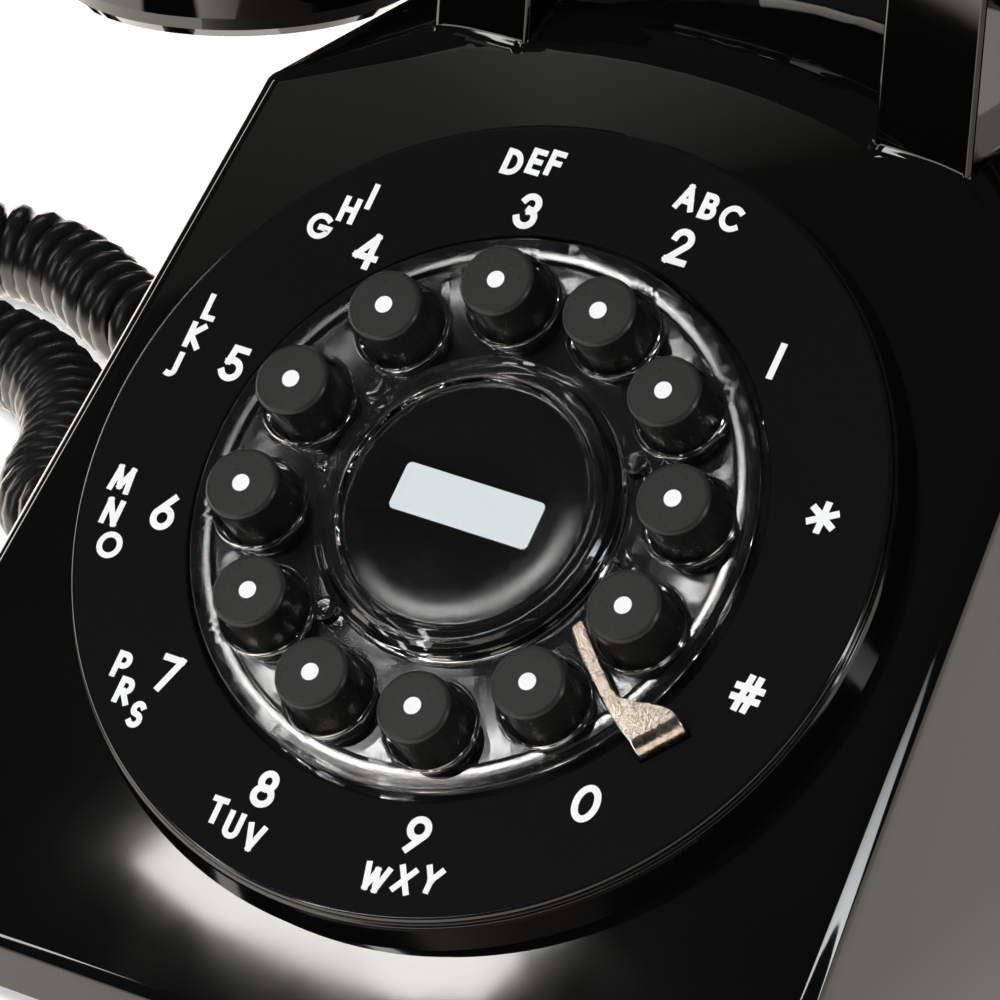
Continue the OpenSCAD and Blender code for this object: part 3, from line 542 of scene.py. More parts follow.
def makePlate():
    r, wall, low, well = plate["radius"], plate["wall"], plate["face"], plate["wellDepth"]
    outer, step, edge = r + plate["flare"], r + plate["step"], plate["ledgeEdge"]
    profile = rounded([
        (0, low), (plate["well"] + wall, low), (plate["well"] + wall, -wall), (r - wall, -wall),
        (outer - wall, low), (outer, low), (step + edge, -wall, edge), (step, plate["ledge"], 0.15),
        (r, plate["ledgeTop"], 0.1), (r, 0, plate["edge"]), (plate["well"], 0, 0.35),
        (plate["well"], -well, 0.5), (0, -well),
    ], 6)
    thing = addObject("numberRing", revolve("numberRing", profile), 30)
    radius, foot, top = plate["studRadius"], plate["studFoot"], plate["studTop"] - wall
    for quarter in range(4):
        stud = [(0, foot), (radius, foot), (radius, top), (0, top)]
        weld(thing, turnedAt(polar(plate["studs"], 90 * quarter), "stud", stud, 32))
    hole = keys["radius"] + keys["clearance"]
    flared = hole + plate["holeFlare"]
    cutter = [(0, low - 1), (hole, low - 1), (hole, -well - 0.4), (flared, -well + 0.2), (flared, 0), (0, 0)]
    for index in range(len(keyNames)):
        carve(thing, turnedAt(atKey(index), "hole", cutter, 64))
    gap = plate["slotGap"]
    left, right = stop["reach"] - stop["metal"] - gap, stop["reach"] + gap
    low, high = stop["side"] - gap, stop["side"] + stop["width"] + gap
    slotBox = [(left, low), (right, low), (right, high), (left, high)]
    carve(thing, addObject("slot", prism("slot", slotBox, -wall - 1, 1, stopFrame)))
    weightNormals(thing, 30)
    finishPiece(thing, "ring", "base", ["number_plate"])
    rim = plate["radius"] - plate["edge"]
    secondLook(thing, "rim", dialFrame.translation, lambda away: away > rim)


makePlate()
print("number ring")

wheel = {
    "radius": 39.1, "wall": 2, "top": 1, "rim": 3, "rimRise": 0.4, "hole": 6, "lip": 0.7, "hub": 21.2,
    "hubTop": 4.4, "disc": 17.6, "gap": 0.2, "well": -4.5,
    "lugs": [(33, 1.7), (150, 1.7), (236, 1.7), (0, 1.1), (180, 1.1)], "lugTop": 3.0, "lugOut": 1.6,
    "root": 0.5, "holeFlare": 0.5, "edge": 0.35,
}


def makeWheel():
    r, top, skin, hole = wheel["radius"], wheel["top"], wheel["top"] - wheel["wall"], wheel["hole"]
    inner, lipTop = wheel["disc"] + wheel["gap"], top + wheel["rimRise"]
    collar, high = wheel["hub"], wheel["hubTop"]
    profile = rounded([
        (inner, skin), (inner, high, 0.5), (collar - 1.5, high, 0.5), (collar - 0.9, high - 0.6, 0.3),
        (collar, high - 1.1, 0.5), (collar, top, 0.5), (r - wheel["rim"] - 0.5, top, 0.3),
        (r - wheel["rim"], lipTop, 0.3), (r, lipTop, wheel["edge"]), (r, wheel["well"]),
        (r - wheel["wall"], wheel["well"]), (r - wheel["wall"], skin, 0.8),
    ], 5)
    thing = addObject("fingerWheel", revolve("fingerWheel", profile), 30)
    root = top - wheel["root"]

    def boss(spot, radius, height, edge, sides):
        outline = rounded([(0, root), (radius, root), (radius, height, edge), (0, height)], 4)
        weld(thing, turnedAt(spot, "boss", outline, sides))

    for index in range(len(keyNames)):
        boss(atKey(index), hole + wheel["lip"], lipTop, 0.3, 64)
    for turn, radius in wheel["lugs"]:
        boss(polar(collar + wheel["lugOut"], turn), radius, wheel["lugTop"], 0.5, 48)
    flare = wheel["holeFlare"]
    wide = hole + flare
    cutter = [(0, skin - 1), (wide, skin - 1)] + arc(wide, skin + flare, flare, flare, 270, 180, 6)
    cutter += arc(wide, lipTop - flare, flare, flare, 180, 90, 6) + [(wide, high + 1), (0, high + 1)]
    for index in range(len(keyNames)):
        carve(thing, turnedAt(atKey(index), "hole", cutter, 96))
    weightNormals(thing, 30)
    finishPiece(thing, "clear", "base", ["finger_wheel"])


makeWheel()
print("finger wheel")

hub = {"disc": 17.6, "height": 2.8, "foot": -4.5, "cardLength": 21, "cardHeight": 6.8, "cardCorner": 0.8,
       "cardThickness": 0.4, "cardGap": 0.2, "wall": 2, "lensEdge": 0.9, "bulge": 0.03, "lensGap": 0.02,
       "lensPlay": 0.1, "bands": 24}


def roundRect(width, height, corner, steps=6):
    half, rise = width / 2, height / 2
    corners = [(-half, -rise), (half, -rise), (half, rise), (-half, rise)]
    return rounded([(*spot, corner) for spot in corners], steps)


def makeHub():
    r, high, wall, corner = hub["disc"], hub["height"], hub["wall"], hub["cardCorner"]
    low = high - hub["cardThickness"]
    profile = rounded([
        (0, high - wall), (r - wall, high - wall), (r - wall, hub["foot"]), (r, hub["foot"]), (r, high, 0.3),
        (0, high),
    ], 4)
    disc = addObject("centreDisc", revolve("centreDisc", profile), 30)
    pocket = roundRect(hub["cardLength"] + hub["cardGap"], hub["cardHeight"] + hub["cardGap"], corner)
    carve(disc, addObject("pocket", prism("pocket", pocket, low, high + 1)))
    weightNormals(disc)
    finishPiece(disc, "disc", "base", ["centre_disc"])
    outline = roundRect(hub["cardLength"], hub["cardHeight"], corner)
    card = addObject("nameCard", prism("nameCard", outline, low, high))
    finishPiece(card, "white_card", "base", ["number_card"])
    bands, reach, foot = hub["bands"], r - hub["lensPlay"], high + hub["lensGap"]
    dome = [(0, foot), (reach, foot)]
    for band in range(bands, -1, -1):
        rise = hub["lensEdge"] + hub["bulge"] * (1 - (band / bands) ** 2)
        dome.append((reach * band / bands, high + rise, 0.3 if band == bands else 0))
    lens = addObject("cardLens", revolve("cardLens", rounded(dome, 4)), 40)
    weightNormals(lens)
    finishPiece(lens, "clear", "base", ["card_lens"])


makeHub()
print("hub")


def makeStop():
    half, bend, steps = stop["metal"] / 2, stop["bend"], stop["bendSteps"]
    path = [(x, stop["top"] - half, 0, left, right) for x, left, right in stop["stations"]]
    last = stop["stations"][-1][1:]
    for step in range(1, steps + 1):
        angle = math.pi / 2 * step / steps
        x, z = stop["reach"] - bend, stop["top"] - bend
        path.append((x + (bend - half) * math.sin(angle), z + (bend - half) * math.cos(angle), angle, *last))
    path.append((path[-1][0], stop["foot"], math.pi / 2, *last))
    rings = []
    for x, z, angle, left, right in path:
        corners = [(left, -half), (right, -half), (right, half), (left, half)]
        section = rounded([(*spot, stop["edge"]) for spot in corners], 3)
        rings.append([(x + math.sin(angle) * h, y, z + math.cos(angle) * h) for y, h in section])
    thing = addObject("fingerStop", loft("fingerStop", rings, stopFrame), 35)
    weightNormals(thing)
    finishPiece(thing, "nickel", "base", ["finger_stop"])


makeStop()
print("finger stop")


upright = [(0, 0), (0, 1)]
bowl = [(0.06, 1), (0.26, 1)] + arc(0.26, 0.73, 0.24, 0.27, 90, -90, 12) + [(0.06, 0.46)]
# Each sign is a list of strokes in a box one unit high, and its width
signs = {
    "0": ([arc(0.33, 0.5, 0.33, 0.5, 0, 360, 32)], 0.66),
    "1": ([upright], 0.0),
    "2": ([arc(0.27, 0.73, 0.27, 0.27, 175, -30, 16) + [(0, 0), (0.58, 0)]], 0.56),
    "3": ([arc(0.25, 0.75, 0.25, 0.25, 160, -80, 16), arc(0.25, 0.28, 0.29, 0.28, 85, -160, 18)], 0.54),
    "4": ([[(0.46, 0), (0.46, 1), (0, 0.3), (0.64, 0.3)]], 0.62),
    "5": ([[(0.52, 1), (0.12, 1), (0.06, 0.54)] + arc(0.24, 0.3, 0.3, 0.3, 110, -150, 18)], 0.54),
    "6": ([[(0.42, 1), (0.07, 0.48)], arc(0.3, 0.3, 0.29, 0.3, 0, 360, 28)], 0.6),
    "7": ([[(0, 1), (0.54, 1), (0.16, 0)]], 0.54),
    "8": ([arc(0.29, 0.75, 0.23, 0.25, 0, 360, 24), arc(0.29, 0.27, 0.29, 0.27, 0, 360, 28)], 0.58),
    "9": ([[(0.18, 0), (0.53, 0.52)], arc(0.3, 0.7, 0.29, 0.3, 0, 360, 28)], 0.6),
    "A": ([[(0, 0), (0.36, 1), (0.72, 0)], [(0.13, 0.3), (0.59, 0.3)]], 0.72),
    "B": ([[(0.26, 0.53), (0, 0.53), (0, 1), (0.24, 1)] + arc(0.26, 0.765, 0.22, 0.235, 90, -90, 10),
           [(0, 0.53), (0, 0), (0.24, 0)] + arc(0.28, 0.265, 0.26, 0.265, -90, 90, 12)], 0.54),
    "C": ([arc(0.46, 0.5, 0.46, 0.5, 50, 310, 24)], 0.76),
    "D": ([[(0.2, 0), (0, 0), (0, 1), (0.2, 1)] + arc(0.2, 0.5, 0.44, 0.5, 90, -90, 18)], 0.64),
    "E": ([[(0.46, 0), (0, 0), (0, 1), (0.46, 1)], [(0, 0.52), (0.4, 0.52)]], 0.46),
    "F": ([[(0, 0), (0, 1), (0.46, 1)], [(0, 0.52), (0.4, 0.52)]], 0.46),
    "G": ([arc(0.48, 0.5, 0.48, 0.5, 50, 355, 26) + [(0.55, 0.46)]], 0.94),
    "H": ([upright, [(0.58, 0), (0.58, 1)], [(0, 0.52), (0.58, 0.52)]], 0.58),
    "I": ([upright], 0.0),
    "J": ([[(0.34, 1), (0.34, 0.24)] + arc(0.12, 0.22, 0.22, 0.22, 0, -110, 10)], 0.34),
    "K": ([upright, [(0.52, 1), (0.06, 0.5), (0.56, 0)]], 0.54),
    "L": ([[(0, 1), (0, 0), (0.42, 0)]], 0.42),
    "M": ([[(0, 0), (0.1, 1), (0.42, 0.16), (0.74, 1), (0.84, 0)]], 0.84),
    "N": ([[(0, 0), (0, 1), (0.6, 0), (0.6, 1)]], 0.6),
    "O": ([arc(0.48, 0.5, 0.48, 0.5, 0, 360, 32)], 0.96),
    "P": ([upright, bowl], 0.5),
    "R": ([upright, bowl, [(0.2, 0.46), (0.54, 0)]], 0.52),
    "S": ([arc(0.25, 0.745, 0.22, 0.255, 40, 230, 16) + arc(0.25, 0.26, 0.25, 0.26, 60, -140, 16)], 0.5),
    "T": ([[(0.26, 0), (0.26, 1)], [(0, 1), (0.52, 1)]], 0.52),
    "U": ([[(0, 1), (0, 0.28)] + arc(0.28, 0.28, 0.28, 0.28, 180, 360, 16) + [(0.56, 1)]], 0.56),
    "V": ([[(0, 1), (0.33, 0), (0.66, 1)]], 0.66),
    "W": ([[(0, 1), (0.26, 0), (0.5, 0.86), (0.74, 0), (1, 1)]], 1.0),
    "X": ([[(0, 0), (0.62, 1)], [(0, 1), (0.62, 0)]], 0.62),
    "Y": ([[(0, 1), (0.31, 0.48), (0.62, 1)], [(0.31, 0.48), (0.31, 0)]], 0.62),
    "#": ([[(0.2, 0), (0.32, 1)], [(0.5, 0), (0.62, 1)], [(0.02, 0.68), (0.8, 0.68)],
           [(0, 0.32), (0.78, 0.32)]], 0.8),
    "*": ([[(0.4, 0.08), (0.4, 0.92)], [(0.04, 0.29), (0.76, 0.71)], [(0.04, 0.71), (0.76, 0.29)]], 0.8),
}


# A stroke without repeated points, cut wherever it turns back sharply
def strokeParts(line):
    points = [Vector(line[0])]
    for spot in line[1:]:
        if (Vector(spot) - points[-1]).length > 1e-4:
            points.append(Vector(spot))
    parts = [[points[0]]]
    for before, here, after in zip(points, points[1:], points[2:]):
        parts[-1].append(here)
        if (here - before).angle(after - here) > math.radians(100):
            parts.append([here])
    parts[-1].append(points[-1])
    return parts


def ribbon(line, width):
    closed = (line[0] - line[-1]).length < 1e-4
    points = line[:-1] if closed else line
    count = len(points)
    left, right = [], []
    for i, point in enumerate(points):
        starts, ends = not closed and i == 0, not closed and i == count - 1
        ahead = (points[(i + 1) % count] - point).normalized()
        back = (point - points[i - 1]).normalized()
        ahead, back = back if ends else ahead, ahead if starts else back
        mean = (ahead + back).normalized()
        normal = Vector((-mean.y, mean.x))
        reach = width / 2 / max(0.5, normal.dot(Vector((-ahead.y, ahead.x))))
        if starts:
            point = point - ahead * width / 2
        if ends:
            point = point + back * width / 2
        left.append(point + normal * reach)
        right.append(point - normal * reach)
    return left, right, closed


def strokePrism(line, width, low, high):
    left, right, closed = ribbon(line, width)
    count = len(left)
    points = [(p.x, p.y, z) for z in (low, high) for side in (left, right) for p in side]
    faces = []
    for i in range(count if closed else count - 1):
        j = (i + 1) % count
        faces += [
            (i, j, count + j, count + i),
            (2 * count + i, 3 * count + i, 3 * count + j, 2 * count + j),
            (i, 2 * count + i, 2 * count + j, j),
            (count + i, count + j, 3 * count + j, 3 * count + i),
        ]
    if not closed:
        faces += [(0, count, 3 * count, 2 * count),
                  (count - 1, 3 * count - 1, 4 * count - 1, 2 * count - 1)]
    return points, faces


dialPrint = {
    "digitHeight": 4.3, "digitStroke": 0.95, "letterHeight": 3.0, "letterStroke": 0.82, "rise": 0.04,
    "riseStep": 0.006, "sink": -0.02,
    "digits": {
        "1": (30.3, 32.0), "2": (10.6, 43.2), "3": (-12.0, 41.9), "4": (-31.3, 30.2), "5": (-42.2, 9.8),
        "6": (-41.9, -12.5), "7": (-30.9, -33.2), "8": (-10.6, -43.6), "9": (12.1, -42.9),
        "0": (32.1, -31.9), "#": (46.3, -11.6), "*": (45.6, 13.7),
    },
    "letters": {
        "A": (8.5, 50.0), "B": (12.0, 49.6), "C": (15.5, 48.9), "D": (-17.2, 47.8), "E": (-14.1, 48.8),
        "F": (-11.4, 49.3), "G": (-39.5, 31.6), "H": (-36.5, 34.9), "I": (-34.2, 37.6),
        "J": (-50.5, 7.3), "K": (-49.4, 11.9), "L": (-48.9, 16.3), "M": (-49.8, -10.0),
        "N": (-49.1, -14.7), "O": (-47.3, -19.1), "P": (-37.7, -34.0), "R": (-35.7, -37.2),
        "S": (-32.6, -39.7), "T": (-15.7, -48.3), "U": (-12.6, -49.5), "V": (-9.2, -50.2),
        "W": (9.2, -50.0), "X": (13.2, -49.0), "Y": (16.7, -47.9),
    },
}


def signMesh(sign, height, stroke, place, order):
    lines, width = signs[sign]
    points, faces = [], []
    for i, line in enumerate(part for line in lines for part in strokeParts(line)):
        sized = [Vector(((spot.x - width / 2) * height, (spot.y - 0.5) * height)) for spot in line]
        rise = dialPrint["rise"] + dialPrint["riseStep"] * (i + order % 2)
        more, moreFaces = strokePrism(sized, stroke, dialPrint["sink"], rise)
        faces += [tuple(len(points) + v for v in face) for face in moreFaces]
        points += more
    return meshFrom("sign", points, faces, place)


def makePrint():
    meshes = []
    for kind in ("digit", "letter"):
        height, stroke = dialPrint[kind + "Height"], dialPrint[kind + "Stroke"]
        for order, (sign, spot) in enumerate(dialPrint[kind + "s"].items()):
            place = dialFrame @ Matrix.Translation((*spot, 0))
            meshes.append(signMesh(sign, height, stroke, place, order))
    thing = addObject("dialPrint", joinMeshes("dialPrint", meshes), 30)
    finishPiece(thing, "print", "base")


makePrint()
print("print")

shell = {
    "width": 143, "depth": 176, "deck": 113, "sideLean": 0.1, "rearLean": 0.11, "shoulder": 96,
    "deckHalf": 38, "crown": 180, "roll": 14, "edge": 3.5, "lip": 3.5, "wall": 3, "foot": 2.5,
    "faceRise": 6.6, "crownSteps": 8, "ballSteps": 64, "seamFillet": 0.9, "filletSteps": 6,
}
prongs = {
    "width": 14.6, "gap": 53, "front": 10.5, "length": 65, "tip": 141, "tipRadius": 4, "saddle": 119,
    "saddleHalf": 16.5, "saddleRadius": 10.5, "flare": 3, "edge": 0.7, "pinRadius": 3.5, "barTop": 68,
    "horn": 0.8, "throat": 12,
}
# Screw posts inside the shell: under the keys, on the base, and under the deck for the hook
bosses = {
    "radius": 4, "screwRadius": 1.35,
    "keySpot": 36, "keyRadius": 3.5, "keyFoot": -14.2, "keyScrew": (-15.2, -9.2),
    "baseInset": 29.5, "baseFoot": 5.1, "baseScrew": (2.5, 16.5), "front": -66, "frontTop": -70,
    "rear": 79, "rearTop": 41.1,
    "hookX": 22, "hookY": 20, "hookFoot": 52.4, "hookScrew": (50, 60),
}
# Openings in the side and rear walls
sockets = {
    "boardTop": 11.7, "jackHeight": 9.6, "gap": 0.2, "reach": 6, "handset": (14.3, 25.7),
    "line": (-27.2, -12.8), "switches": (4, 22), "switchHalf": 4.1, "switchSlot": (14.3, 18.1),
}
prongX = prongs["gap"] / 2 + prongs["width"] / 2
cradleY = prongs["front"] + prongs["length"] / 2
alongX = Matrix(((0, 0, mm, 0), (mm, 0, 0, 0), (0, mm, 0, 0), (0, 0, 0, 1)))
alongY = Matrix(((mm, 0, 0, 0), (0, 0, -mm, 0), (0, mm, 0, 0), (0, 0, 0, 1)))
tiltSin = math.sin(math.radians(dial["tilt"]))
tiltCos = math.cos(math.radians(dial["tilt"]))


def sideX(z):
    return shell["width"] / 2 - shell["sideLean"] * (z - shell["foot"])


def rearY(z):
    return shell["depth"] / 2 - shell["rearLean"] * (z - shell["foot"])


def faceY(z, depth):
    return dial["y"] + (tiltCos * (z - dial["height"]) + shell["faceRise"] + depth) / tiltSin


def faceZ(y, depth):
    return dial["height"] + (tiltSin * (y - dial["y"]) - shell["faceRise"] - depth) / tiltCos


def crownZ(x):
    return shell["deck"] - x * x / (2 * shell["crown"])


def ballPoints(x, y, z, r):
    steps = shell["ballSteps"]
    turns = [math.tau * j / steps for j in range(steps)]
    points = []
    for i in range(steps // 2 + 1):
        up = math.pi * i / (steps // 2) - math.pi / 2
        out, rise = r * math.cos(up), z + r * math.sin(up)
        points += [(x + out * math.cos(turn), y + out * math.sin(turn), rise) for turn in turns]
    return points


def hullMesh(name, points):
    mesh = bpy.data.meshes.new(name)
    shape = bmesh.new()
    for point in points:
        shape.verts.new([c * mm for c in point])
    result = bmesh.ops.convex_hull(shape, input=shape.verts)
    spare = {v for v in result["geom_interior"] + result["geom_unused"] if isinstance(v, bmesh.types.BMVert)}
    bmesh.ops.delete(shape, geom=[v for v in shape.verts if v in spare or not v.link_faces], context="VERTS")
    bmesh.ops.dissolve_limit(shape, angle_limit=math.radians(0.25), verts=shape.verts, edges=shape.edges)
    bmesh.ops.recalc_face_normals(shape, faces=shape.faces)
    shape.to_mesh(mesh)
    shape.free()
    return mesh


def shellOutside():
    lip, edge, roll, foot = shell["lip"], shell["edge"], shell["roll"], shell["foot"]
    turns = [math.tau * step / shell["ballSteps"] for step in range(shell["ballSteps"])]
    lipY = lip - shell["depth"] / 2
    lipZ = faceZ(lipY, lip)
    shoulderZ = shell["shoulder"] - edge / 2
    points = []
    for side in (-1, 1):
        for y in (lipY, -lipY):
            x = side * (sideX(foot) - lip)
            points += [(x + lip * math.cos(turn), y + lip * math.sin(turn), z)
                       for turn in turns for z in (foot, foot + 1)]
        points += ballPoints(side * (sideX(lipZ) - lip), lipY, lipZ, lip)
        for y in (faceY(shoulderZ, edge), rearY(shoulderZ) - edge):
            points += ballPoints(side * (sideX(shell["shoulder"]) - edge), y, shoulderZ, edge)
        for step in range(shell["crownSteps"] + 1):
            x = shell["deckHalf"] * step / shell["crownSteps"]
            lean = math.asin(x / shell["crown"])
            z = crownZ(x) - roll * math.cos(lean)
            for y in (faceY(z, roll), rearY(z) - roll):
                points += ballPoints(side * (x - roll * math.sin(lean)), y, z, roll)
    return hullMesh("housing", points)


def shellInside():
    wall = shell["wall"]
    top = shell["deck"] - wall
    front = wall - shell["depth"] / 2
    bevel = shell["roll"] * 0.6
    shoulderZ = shell["shoulder"] - wall / 2
    profile = [
        (front, -1), (front, faceZ(front, wall)), (faceY(top - bevel, wall), top - bevel),
        (faceY(top, wall) + bevel, top), (rearY(top) - wall - bevel, top),
        (rearY(top - bevel) - wall, top - bevel), (rearY(-1) - wall, -1),
    ]
    half = [(sideX(-1) - wall, -1), (sideX(shoulderZ) - wall, shoulderZ),
            (shell["deckHalf"], crownZ(shell["deckHalf"]) - wall * 1.1)]
    across = half + [(0, top)] + [(-x, z) for x, z in reversed(half)]
    inside = addObject("inside", prism("inside", profile, -shell["width"] / 2, shell["width"] / 2, alongX))
    other = addObject("across", prism("across", across, -shell["depth"] / 2, shell["depth"] / 2, alongY))
    combine(inside, other, "INTERSECT")
    return inside


def post(x, y, low, high, radius, place=plainFrame, sides=48):
    profile = [(0, low), (radius, low), (radius, high), (0, high)]
    return addObject("post", revolve("post", profile, place @ Matrix.Translation((x, y, 0)), sides))


def brick(low, high):
    outline = [(low[0], low[1]), (high[0], low[1]), (high[0], high[1]), (low[0], high[1])]
    return addObject("brick", prism("brick", outline, low[2], high[2], plainFrame))


def prongBlock(side):
    tip, flare, saddle, radius = prongs["tip"], prongs["flare"], prongs["saddle"], prongs["saddleRadius"]
    front, rear = prongs["front"], prongs["front"] + prongs["length"]
    near, far = cradleY - prongs["saddleHalf"], cradleY + prongs["saddleHalf"]
    root = crownZ(prongX + prongs["width"] / 2) - shell["wall"] - 1.5
    horn, throat, corner = prongs["horn"], prongs["throat"], prongs["tipRadius"]
    outline = rounded([
        (front, root), (rear, root), (rear, tip, corner), (far + flare, tip, horn),
        (far, tip - 3 * flare, throat), (far, saddle, radius), (near, saddle, radius),
        (near, tip - 3 * flare, throat), (near - flare, tip, horn), (front, tip, corner),
    ], 10)
    inner = side * prongX - prongs["width"] / 2
    block = addObject("prong", prism("prong", outline, inner, inner + prongs["width"], alongX))
    soft = block.modifiers.new("bevel", "BEVEL")
    soft.width = prongs["edge"] * mm
    soft.segments = 3
    soft.limit_method = "ANGLE"
    soft.angle_limit = math.radians(50)
    bpy.context.view_layer.update()
    applyModifiers(block)
    return block


# A small fillet where the prongs grow out of the deck
def seamSkirt(side, tree):
    fillet, steps = shell["seamFillet"], shell["filletSteps"]
    levels = [(-1.5, fillet)]
    for t in range(steps + 1):
        rise = fillet * t / steps
        levels.append((rise, fillet - math.sqrt(max(0, fillet ** 2 - (fillet - rise) ** 2))))
    levels.append((fillet + 0.3, -0.06))
    rings = []
    for rise, out in levels:
        width, length = prongs["width"] + 2 * out, prongs["length"] + 2 * out
        outline = [Vector(spot) for spot in roundRect(width, length, prongs["edge"] + max(out, 0), 5)]
        ring = []
        for here, following in zip(outline, outline[1:] + outline[:1]):
            pieces = max(1, int((following - here).length))
            for t in range(pieces):
                x, y = here.lerp(following, t / pieces)
                x, y = side * prongX + x, cradleY + y
                hit = tree.ray_cast(Vector((x * mm, y * mm, 1)), Vector((0, 0, -1)))[0]
                ring.append((x, y, hit.z / mm + rise))
        rings.append(ring)
    counts = min(len(ring) for ring in rings)
    return addObject("skirt", loft("skirt", [resample(ring, counts) for ring in rings]))


def resample(ring, count):
    points = [Vector(p) for p in ring]
    spans = [0]
    for a, b in zip(points, points[1:] + points[:1]):
        spans.append(spans[-1] + (b - a).length)
    result = []
    i = 0
    for step in range(count):
        at = spans[-1] * step / count
        while spans[i + 1] < at:
            i += 1
        a, b = points[i % len(points)], points[(i + 1) % len(points)]
        result.append(tuple(a.lerp(b, (at - spans[i]) / max(1e-9, spans[i + 1] - spans[i]))))
    return result


# A screw post and the hole in its foot
def addBoss(thing, x, y, low, high, radius, screw, place=plainFrame):
    weld(thing, post(x, y, low, high, radius, place))
    carve(thing, post(x, y, *screw, bosses["screwRadius"], place, 24))


def makeHousing():
    wall = shell["wall"]
    thing = addObject("housing", shellOutside(), 30)
    tree = BVHTree.FromObject(thing, bpy.context.evaluated_depsgraph_get())
    carve(thing, shellInside())
    for side in (-1, 1):
        weld(thing, prongBlock(side))
        weld(thing, seamSkirt(side, tree))
    opening = keys["pitch"] + wheel["hole"] + 1.6
    under = dial["faceDepth"] - wall
    spot, foot, radius = bosses["keySpot"], bosses["keyFoot"], bosses["keyRadius"]
    for x in (-spot, spot):
        for y in (-spot, spot):
            addBoss(thing, x, y, foot, under + 1, radius, bosses["keyScrew"], dialFrame)
    carve(thing, post(0, 0, under - 1, 0, opening, dialFrame, 128))
    for quarter in range(4):
        spot = polar(plate["studs"], 90 * quarter)
        carve(thing, post(spot.x, spot.y, under - 1, 0, plate["studRadius"] + 0.2, dialFrame))
    ends = ((bosses["front"], faceZ(bosses["frontTop"], wall / 2)), (bosses["rear"], bosses["rearTop"]))
    deck = crownZ(bosses["hookX"]) - wall / 2
    for side in (-1, 1):
        for y, top in ends:
            x = side * (shell["width"] / 2 - bosses["baseInset"])
            addBoss(thing, x, y, bosses["baseFoot"], top, bosses["radius"], bosses["baseScrew"])
        for y in (cradleY - bosses["hookY"], cradleY + bosses["hookY"]):
            x = side * bosses["hookX"]
            addBoss(thing, x, y, bosses["hookFoot"], deck, bosses["radius"], bosses["hookScrew"])
        low, high = prongs["barTop"], prongs["saddle"] + 1
        carve(thing, post(side * prongX, cradleY, low, high, prongs["pinRadius"]))
    left, rear, reach = -sideX(sockets["boardTop"]), rearY(sockets["boardTop"]), sockets["reach"]
    low = sockets["boardTop"] - sockets["gap"]
    high = sockets["boardTop"] + sockets["jackHeight"] + sockets["gap"]
    (near, far), (start, end), (foot, top) = sockets["handset"], sockets["line"], sockets["switchSlot"]
    carve(thing, brick((left - reach, near, low), (left + reach, far, high)))
    carve(thing, brick((start, rear - reach, low), (end, rear + reach, high)))
    for x in sockets["switches"]:
        half = sockets["switchHalf"]
        carve(thing, brick((x - half, rear - reach, foot), (x + half, rear + reach, top)))
    weightNormals(thing, 32)
    finishPiece(thing, "black_gloss", "base", ["housing"])


makeHousing()
print("housing")

handset = {
    "capX": 91.5, "capRadius": 27, "capLow": 90, "capHeight": 13, "tilt": 5, "capWall": 2.3, "low": 119.3,
    "top": 142.3, "neck": 26.5, "cupWall": 3, "cupFloor": 14, "cupTop": 2.2, "gap": 0.2, "sides": 96,
    "splits": 6, "boxy": 0.9, "boxyUntil": 7, "socketLow": 19.2, "socketHigh": 9.8, "socketInset": 1.8,
    "socketDepth": 15.2, "socketHalf": 5.7,
    # From the neck's inner side, the underside, the neck's outer side and the top, and the half width
    "grip": [
        (-22.5, 0, -77.5, 0.4, 16), (-18.5, 0, -65.5, 0.2, 16), (-14.5, 0, -53.5, -0.3, 16.4),
        (-10.5, -0.2, -41.5, -1.2, 17.6), (-7, -0.9, -30.5, -3.2, 18.6), (-4, -2.1, -20.5, -6.4, 20.9),
        (-1.7, -3.8, -11.9, -11, 23), (-0.2, -6, -5.3, -17, 24.7), (0.7, -8.6, -0.9, -24.6, 25.9),
    ],
}


def cupPoint(out, up):
    tilt = math.radians(handset["tilt"])
    return (
        handset["capX"] + out * math.cos(tilt) + up * math.sin(tilt),
        handset["capLow"] - out * math.sin(tilt) + up * math.cos(tilt),
    )


def cupFrame(side):
    return (
        Matrix.Translation((side * handset["capX"] * mm, cradleY * mm, handset["capLow"] * mm))
        @ Matrix.Rotation(math.radians(side * handset["tilt"]), 4, "Y") @ Matrix.Scale(mm, 4)
    )


def gripStations():
    x, low, top, neck = handset["capX"], handset["low"], handset["top"], handset["neck"]
    up = handset["capHeight"] + 0.3
    stations = [(x - neck + a, low + b, x + neck + c, top + d, half) for a, b, c, d, half in handset["grip"]]
    return stations + [(*cupPoint(-neck, up), *cupPoint(neck, up), neck)]


def gripRing(station, side, at):
    power = 2 / (2 + handset["boxy"] * max(0, 1 - at / handset["boxyUntil"]))
    lowX, lowZ, highX, highZ, half = station
    ring = []
    for step in range(handset["sides"]):
        angle = math.tau * step / handset["sides"]
        rise, out = (math.copysign(abs(v) ** power, v) for v in (math.sin(angle), math.cos(angle)))
        share = (1 + rise) / 2
        ring.append((
            side * (lowX + (highX - lowX) * share), cradleY + half * out, lowZ + (highZ - lowZ) * share,
        ))
    return ring


